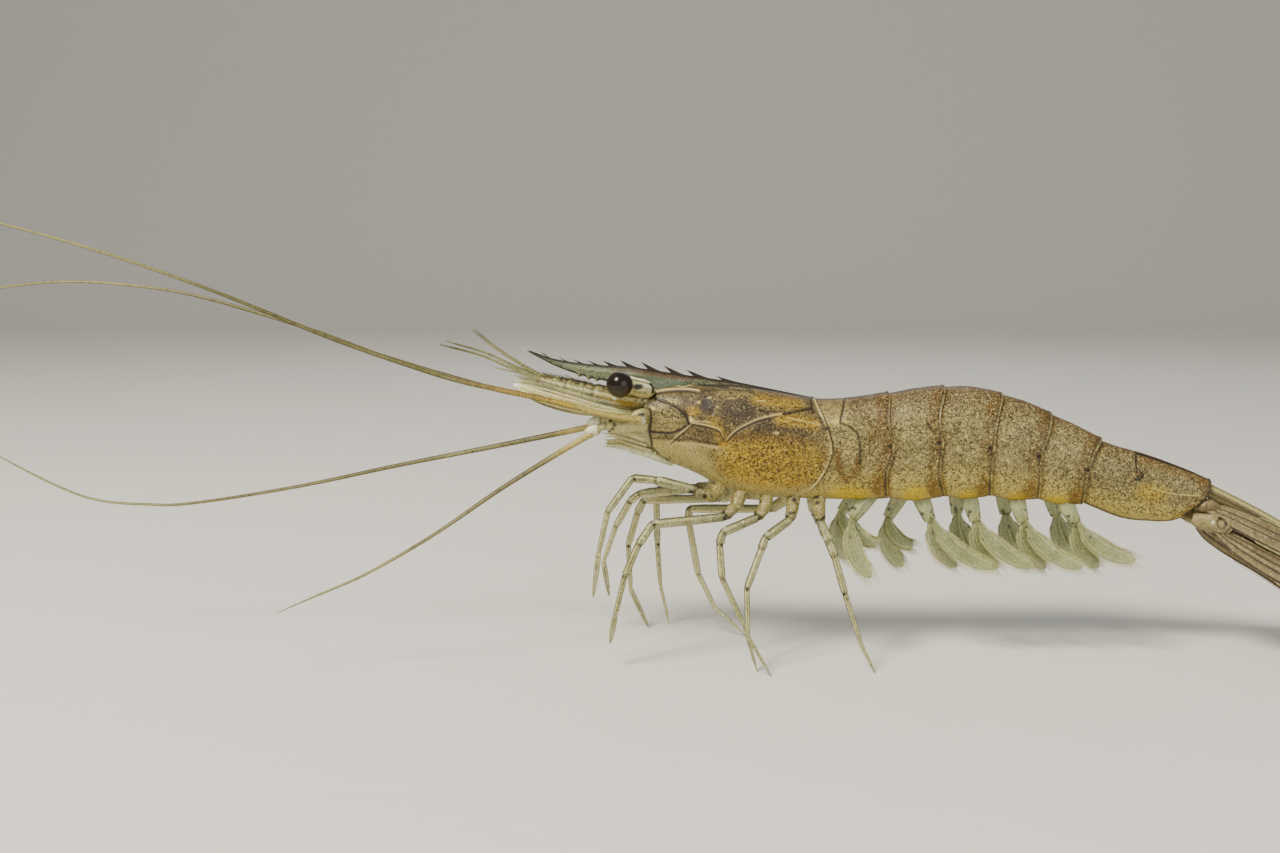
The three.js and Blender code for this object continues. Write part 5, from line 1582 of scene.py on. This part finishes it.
# x and z of each limb's hip, knee, outer leaf's tip and inner leaf's tip.
PLEOPODS = {
    "pleopod_1_left": ((-5.6, 27.4), (-9.0, 22.8), (-6.0, 12.0), (-4.2, 17.4)),
    "pleopod_2_left": ((1.4, 27.4), (3.4, 22.4), (14.3, 13.8), (8.6, 13.2)),
    "pleopod_3_left": ((9.2, 27.6), (10.6, 22.4), (20.6, 14.0), (15.2, 13.0)),
    "pleopod_4_left": ((16.8, 27.2), (18.2, 22.2), (28.2, 13.9), (22.8, 12.9)),
    "pleopod_5_left": ((24.6, 26.0), (26.6, 22.0), (36.6, 15.2), (31.4, 13.2)),
    "pleopod_1_right": ((-6.0, 27.4), (-9.6, 22.4), (-7.6, 12.2), (-5.2, 16.8)),
    "pleopod_2_right": ((1.0, 27.4), (-1.9, 21.4), (1.4, 11.0), (2.6, 15.6)),
    "pleopod_3_right": ((9.0, 27.6), (9.4, 22.0), (17.4, 12.6), (12.8, 12.8)),
    "pleopod_4_right": ((16.6, 27.2), (17.4, 22.0), (26.2, 13.0), (21.0, 12.4)),
    "pleopod_5_right": ((24.4, 26.0), (25.8, 21.8), (35.0, 13.8), (29.8, 12.8)),
}
HIP_Y = 2.5
KNEE_Y = 4.0
LEAF_BOW = 1.4  # how far a leaf bows down and forward of its chord
LEAF_REACH = 0.9  # how much of the way to its tip a leaf goes, the bristles the rest
LEAVES = (("outer", 6.2, 1.2), ("inner", 3.0, 0.98))  # y of the tip and half width
LEAF_COLUMNS = 48

swimming_cuticle = cuticle(
    "clear_swimming_cuticle", "#9a9c6b", "#818559", patch=2.4,
    # the second, pale kind of fleck is a painted highlight: glints of light on the wet cuticle
    specks=((0.3, -0.15, 0.1, 0.5, "#453711"), (0.3, -0.08, 0.0, 0.4, "#c7cc97")),
    tints=(
        ("amber", 0.85, "~#7b7124"), ("pale", 0.85, "~#b3b982"), ("edge", 0.7, "#514f24"),
        ("brown", 0.93, "#1e1107"), ("white", 0.85, "#e7e7cd"),
    ),
    roughness=0.4, alpha=0.8, flesh=0.35,
)  # fmt: skip
stem_half = through((0, 1.45), (0.5, 1.4), (1, 0.95))


def paint_stem(P, t, margin, **_):
    """What a limb's stem is painted with."""
    return {
        "amber": 0.6 * ease(-t, -0.6, -0.1) + 0.5 * ease(t, 0.75, 0.95),
        "pale": 0.2 + far_side_painted_light,
        "brown": blots(P, chance, t > 0.7, 0.28, 9),
        "edge": 0.4 * margin,
    }


def paint_leaf(P, t, place, rib, margin):
    """What a limb's leaf is painted with."""
    return {
        "pale": 0.35 * band(np.abs(place), 0.7, 0.12) + 0.3 * ease(t, 0.5, 1.0) + far_side_painted_light,
        "amber": 0.5 * rib + 0.35 * ease(-t, -0.3, 0),
        "brown": 0.9 * blots(P, chance, t < 0.35, 0.2, 5),
        "edge": 0.4 * ease(margin, 0.6, 1) + 0.35 * rib * ease(-t, -0.85, -0.3),
    }


def outwards_and_ahead(path, skin, row, column):
    """At one edge of a blade, the ways out from its middle line and on along it."""
    outwards = unit(skin[row, column] - path[row])
    return outwards, unit(path[row] - path[max(row - 3, 0)])


pleopod_bristles = Bristles()
for number, (name, (hip, knee, *tips)) in enumerate(PLEOPODS.items()):
    s = -1 if name.endswith("left") else 1
    chance = random.Random(60 + number)
    # Painted light: the far limbs are painted paler to offset the shade the body casts on them.
    far_side_painted_light = 0.6 if s > 0 else 0.0  # the farther limbs are paler
    (hip_x, hip_z), (knee_x, knee_z) = hip, knee
    stem = [
        (hip_x - 0.2, s * (HIP_Y - 0.2), hip_z + 1.0),
        (hip_x, s * HIP_Y, hip_z),
        ((hip_x + knee_x) / 2, s * (HIP_Y + 0.9), (hip_z + knee_z) / 2),
        (knee_x, s * KNEE_Y, knee_z),
    ]
    limb = Form()
    leaf(
        limb, stem, (1, 0, 0), stem_half, thick=1.3, count=56, around=LEAF_COLUMNS, ribs=(0.0,),
        paint=paint_stem,
    )  # fmt: skip
    for (which, tip_y, wide), (tip_x, tip_z) in zip(LEAVES, tips):
        dx, dz = tip_x - knee_x, tip_z - knee_z
        length = math.hypot(dx, dz)
        points = []
        for t in (0, 0.3, 0.65, 1):
            go, bow = t * LEAF_REACH, LEAF_BOW * math.sin(math.pi * t) / length
            y = s * (KNEE_Y + (tip_y - KNEE_Y) * t)
            points.append((knee_x + dx * go + dz * bow, y, knee_z + 0.5 + dz * go - dx * bow))
        half = through((0, 0.42), (0.12, 0.6), (0.4, wide), (0.75, wide * 0.92), (0.93, wide * 0.6), (1, 0.2))
        path, L = leaf(
            limb, points, (1, 0, 0.3), half, thick=0.5, count=100, around=LEAF_COLUMNS,
            ribs=(-0.4, 0.0, 0.4), paint=paint_leaf,
        )  # fmt: skip
        cell = 2 * number + (which == "inner")
        for column in (0, LEAF_COLUMNS // 2):
            for t in np.linspace(0.22, 1.0, 84):
                row = int(t * (len(path) - 1))
                outwards, ahead = outwards_and_ahead(path, L, row, column)
                way = unit(outwards * (0.75 - 0.55 * t) + ahead)
                reach = min(1.6, 0.8 + 1.0 * t) * chance.uniform(0.85, 1.15)
                place_on_map = (0.02 + 0.045 * cell + (0.02 if column else 0), 0.05 + 0.9 * t)
                bend = np.array([0.1, 0, -0.1])
                pleopod_bristles.grow(L[row, column], way, bend, reach, 0.03, place_on_map)
    limb.make(name.replace("pleopod", "swimming_limb"), swimming_cuticle, "swimming_limb", name)
pleopod_bristles.finish("swimming_limb_bristles", "swimming_limb")

# ---- Tail fan ----------------------------------------------------------------------
# The telson, a grooved wedge with small spines, lies between two pairs of ribbed
# blades, the uropods. Their edges and ribs are dark, and hairs fringe their ends.

TELSON_KEEL = 0.35  # how far out across it each of its two keels lies
tail_cuticle = cuticle(
    "speckled_tail_cuticle", "#897f5b", "#6a6143", patch=2.6,
    # the second, pale kind of fleck is a painted highlight: glints of light on the wet cuticle
    specks=((0.36, -0.09, 0.1, 0.55, "#291c09"), (0.36, -0.1, 0.0, 0.45, "#d1c478")),
    tints=(
        ("rust", 0.85, "~#5f421a"), ("pale", 0.9, "#ccbe79"), ("edge", 0.85, "#251907"),
        ("brown", 0.95, "#220d0a"), ("white", 0.92, "#e7e7c9"),
    ),
    roughness=0.42, alpha=0.98, flesh=0.1,
)  # fmt: skip


def paint_telson(place, margin, **_):
    """What the telson is painted with."""
    keels = band(np.abs(place), TELSON_KEEL, 0.07)
    return {
        "brown": 0.7 * keels + 0.75 * margin,
        "pale": 0.5 + 0.4 * band(np.abs(place), 0.55, 0.09) + 0.3 * band(place, 0, 0.2),
    }


def paint_fan(t, place, rib, **_):
    """What a blade of the fan is painted with."""
    stripes = np.sin(place * 11 + 1.5 * t)
    return {
        "brown": rib + band(place, 0.93, 0.07) + 0.95 * band(place, -0.93, 0.07),
        "pale": 0.15 * ease(-stripes, 0.3, 0.95) * ease(t, 0.03, 0.15) + 0.4 * ease(t, 0.85, 1.0),
        "edge": 0.12 * ease(stripes, 0.6, 0.95),
        "rust": 0.25 + 0.2 * np.sin(place * 5),
    }


TELSON = ((47.6, 0, 27.2), (49.0, 0, 26.6), (56, 0, 23.1), (62.5, 0, 19.6), (69.4, 0, 16.5))
telson = Form()
telson_half = through((0, 2.2), (0.3, 2.05), (0.7, 1.25), (0.96, 0.4), (1, 0.25))
leaf(
    telson, TELSON, (0, 1, 0), telson_half, thick=1.35, count=170, around=72,
    ribs=(-TELSON_KEEL, TELSON_KEEL), paint=paint_telson,
)  # fmt: skip
# Root of each spine on the left half, how far back and down it reaches: the long and the
# short one of the tip, then the two of the edge.
TELSON_SPINES = (
    (69.0, 0.32, 16.6, 0.8, 0.45), (69.0, 0.12, 16.6, 0.48, 0.27), (59.0, 0.7, 21.1, 0.9, 0.25),
    (63.8, 0.7, 18.9, 0.9, 0.25),
)  # fmt: skip
for x, y, z, back, drop in TELSON_SPINES:
    for s in (1, -1):
        spine = np.linspace([x, s * y, z], [x + back, s * y * 1.1, z - drop], 8)
        taper(telson, spine, 0.13, 0.04, 8, {"brown": 0.5})
telson.make("telson_wedge", tail_cuticle, "tail_fan", "telson")

UROPOD_BASE = (
    (45.9, 2.0, 22.3), (46.8, 2.3, 22.1), (48.4, 2.9, 21.9), (50.0, 3.5, 21.3), (51.2, 3.9, 20.5),
)  # fmt: skip
HINGE_FOLD = ((46.4, 1.5, 24.0), (48.2, 1.9, 24.4), (50.2, 2.3, 24.3))
UROPOD_INNER = (
    (47.8, 2.3, 24.2), (49.4, 2.6, 23.7), (51.2, 3.0, 23.0), (56, 3.7, 20.8), (62.5, 4.4, 17.7),
    (70.4, 4.95, 13.9),
)  # fmt: skip
UROPOD_OUTER = (
    (48.6, 3.6, 21.2), (49.9, 4.1, 20.3), (51.4, 4.7, 19.3), (56, 5.8, 16.6), (63, 7.2, 12.8),
    (70, 8.3, 7.9), (76.2, 8.9, 2.0),
)  # fmt: skip
inner_half = through((0, 0.7), (0.06, 1.25), (0.2, 2.1), (0.6, 2.5), (0.85, 2.0), (0.96, 1.1), (1, 0.4))
outer_half = through((0, 0.5), (0.05, 1.2), (0.16, 2.4), (0.5, 3.1), (0.8, 2.8), (0.94, 1.7), (1, 0.7))
# Each blade's points, half width, ribs and longest bristle.
UROPODS = (
    ("inner", UROPOD_INNER, inner_half, (-0.25, 0.25), 1.2),
    ("outer", UROPOD_OUTER, outer_half, (-0.45, -0.05, 0.35, 0.62), 1.1),
)
BLADE_COLUMNS = 108
FLOOR_GAP = 0.1  # a bristle that would end lower than this is left out
chance = random.Random(81)
tail_bristles = Bristles()
for side, s in SIDES:
    path = smooth_path(on_side(UROPOD_BASE, s), 60)
    along = np.linspace(0, 1, len(path))
    girth = np.interp(along, [0, 0.15, 0.45, 0.75, 1], [0.9, 1.2, 1.6, 1.5, 0.85])
    P, angle = rings(path, girth, girth * 0.95, 48)
    P = P + outward(P) * (0.1 * np.sin(angle * 3 + along[:, None] * 9))[..., None]
    knob = Form()
    around = np.hypot(P[..., 0] - 49.6, P[..., 2] - 22.0)
    knob.ring_skin(
        P,
        {
            "pale": 0.2,
            "brown": blots(P, chance, True, 0.32, 5)
            + 0.7 * band(along, 0.92, 0.05)[:, None]
            + 0.8 * band(around, 0.7, 0.22),
            # The white blots are painted highlights: glints on the knobs of the base.
            "white": 0.7 * blots(P, chance, True, 0.25, 5),
            "rust": 0.3,
        },
    )
    # The soft skin of the hinge, between the base and the rim of the last plate.
    fold = smooth_path(on_side(HINGE_FOLD, s), 30)
    bulge = np.sin(np.linspace(0.5, 2.9, len(fold)))
    F, _ = rings(fold, 1.3 * bulge, 1.2 * bulge, 30)
    crease = near(F[..., 0], F[..., 2], [(47.5, 24.6), (50.0, 24.4)], 0.2)
    knob.ring_skin(F, {"rust": 0.5, "brown": 0.4 * crease})
    knob.make(f"uropod_{side}_base", tail_cuticle, "tail_fan", f"uropod_base_{side}")
    across = (0, -s * 0.62, 0.78)
    for which, points, half, ribs, longest in UROPODS:
        fan = Form()
        middle = on_side(points, s)
        path, L = leaf(
            fan, middle, across, half, thick=0.55, count=180, around=BLADE_COLUMNS, ribs=ribs,
            paint=paint_fan,
        )  # fmt: skip
        fan.make(f"uropod_{side}_{which}", tail_cuticle, "tail_fan", f"uropod_{which}_{side}")
        cell = 0.1 + (0.4 if which == "outer" else 0) + (0.2 if s > 0 else 0)
        for column in (0, BLADE_COLUMNS // 2):
            for t in np.linspace(0.35, 1.0, 130):
                row = int(t * (len(path) - 1))
                outwards, ahead = outwards_and_ahead(path, L, row, column)
                way = unit(outwards * (0.7 - 0.4 * t) + ahead)
                reach = min(longest, 0.5 + 0.9 * t) * chance.uniform(0.85, 1.1)
                root = L[row, column]
                if (root + way * reach)[2] < FLOOR_GAP:
                    continue
                place_on_map = (cell + (0.08 if column else 0), 0.05 + 0.9 * t)
                tail_bristles.grow(root, way, np.zeros(3), reach, 0.04, place_on_map)
tail_bristles.finish("tail_fan_bristles", "tail_fan")

# ---- Sizes -------------------------------------------------------------------------
# The solids' box and the dressed model's box, to compare.
sizes = {"cad": [list(corner) for corner in cad_box], "visual": [list(corner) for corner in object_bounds()]}
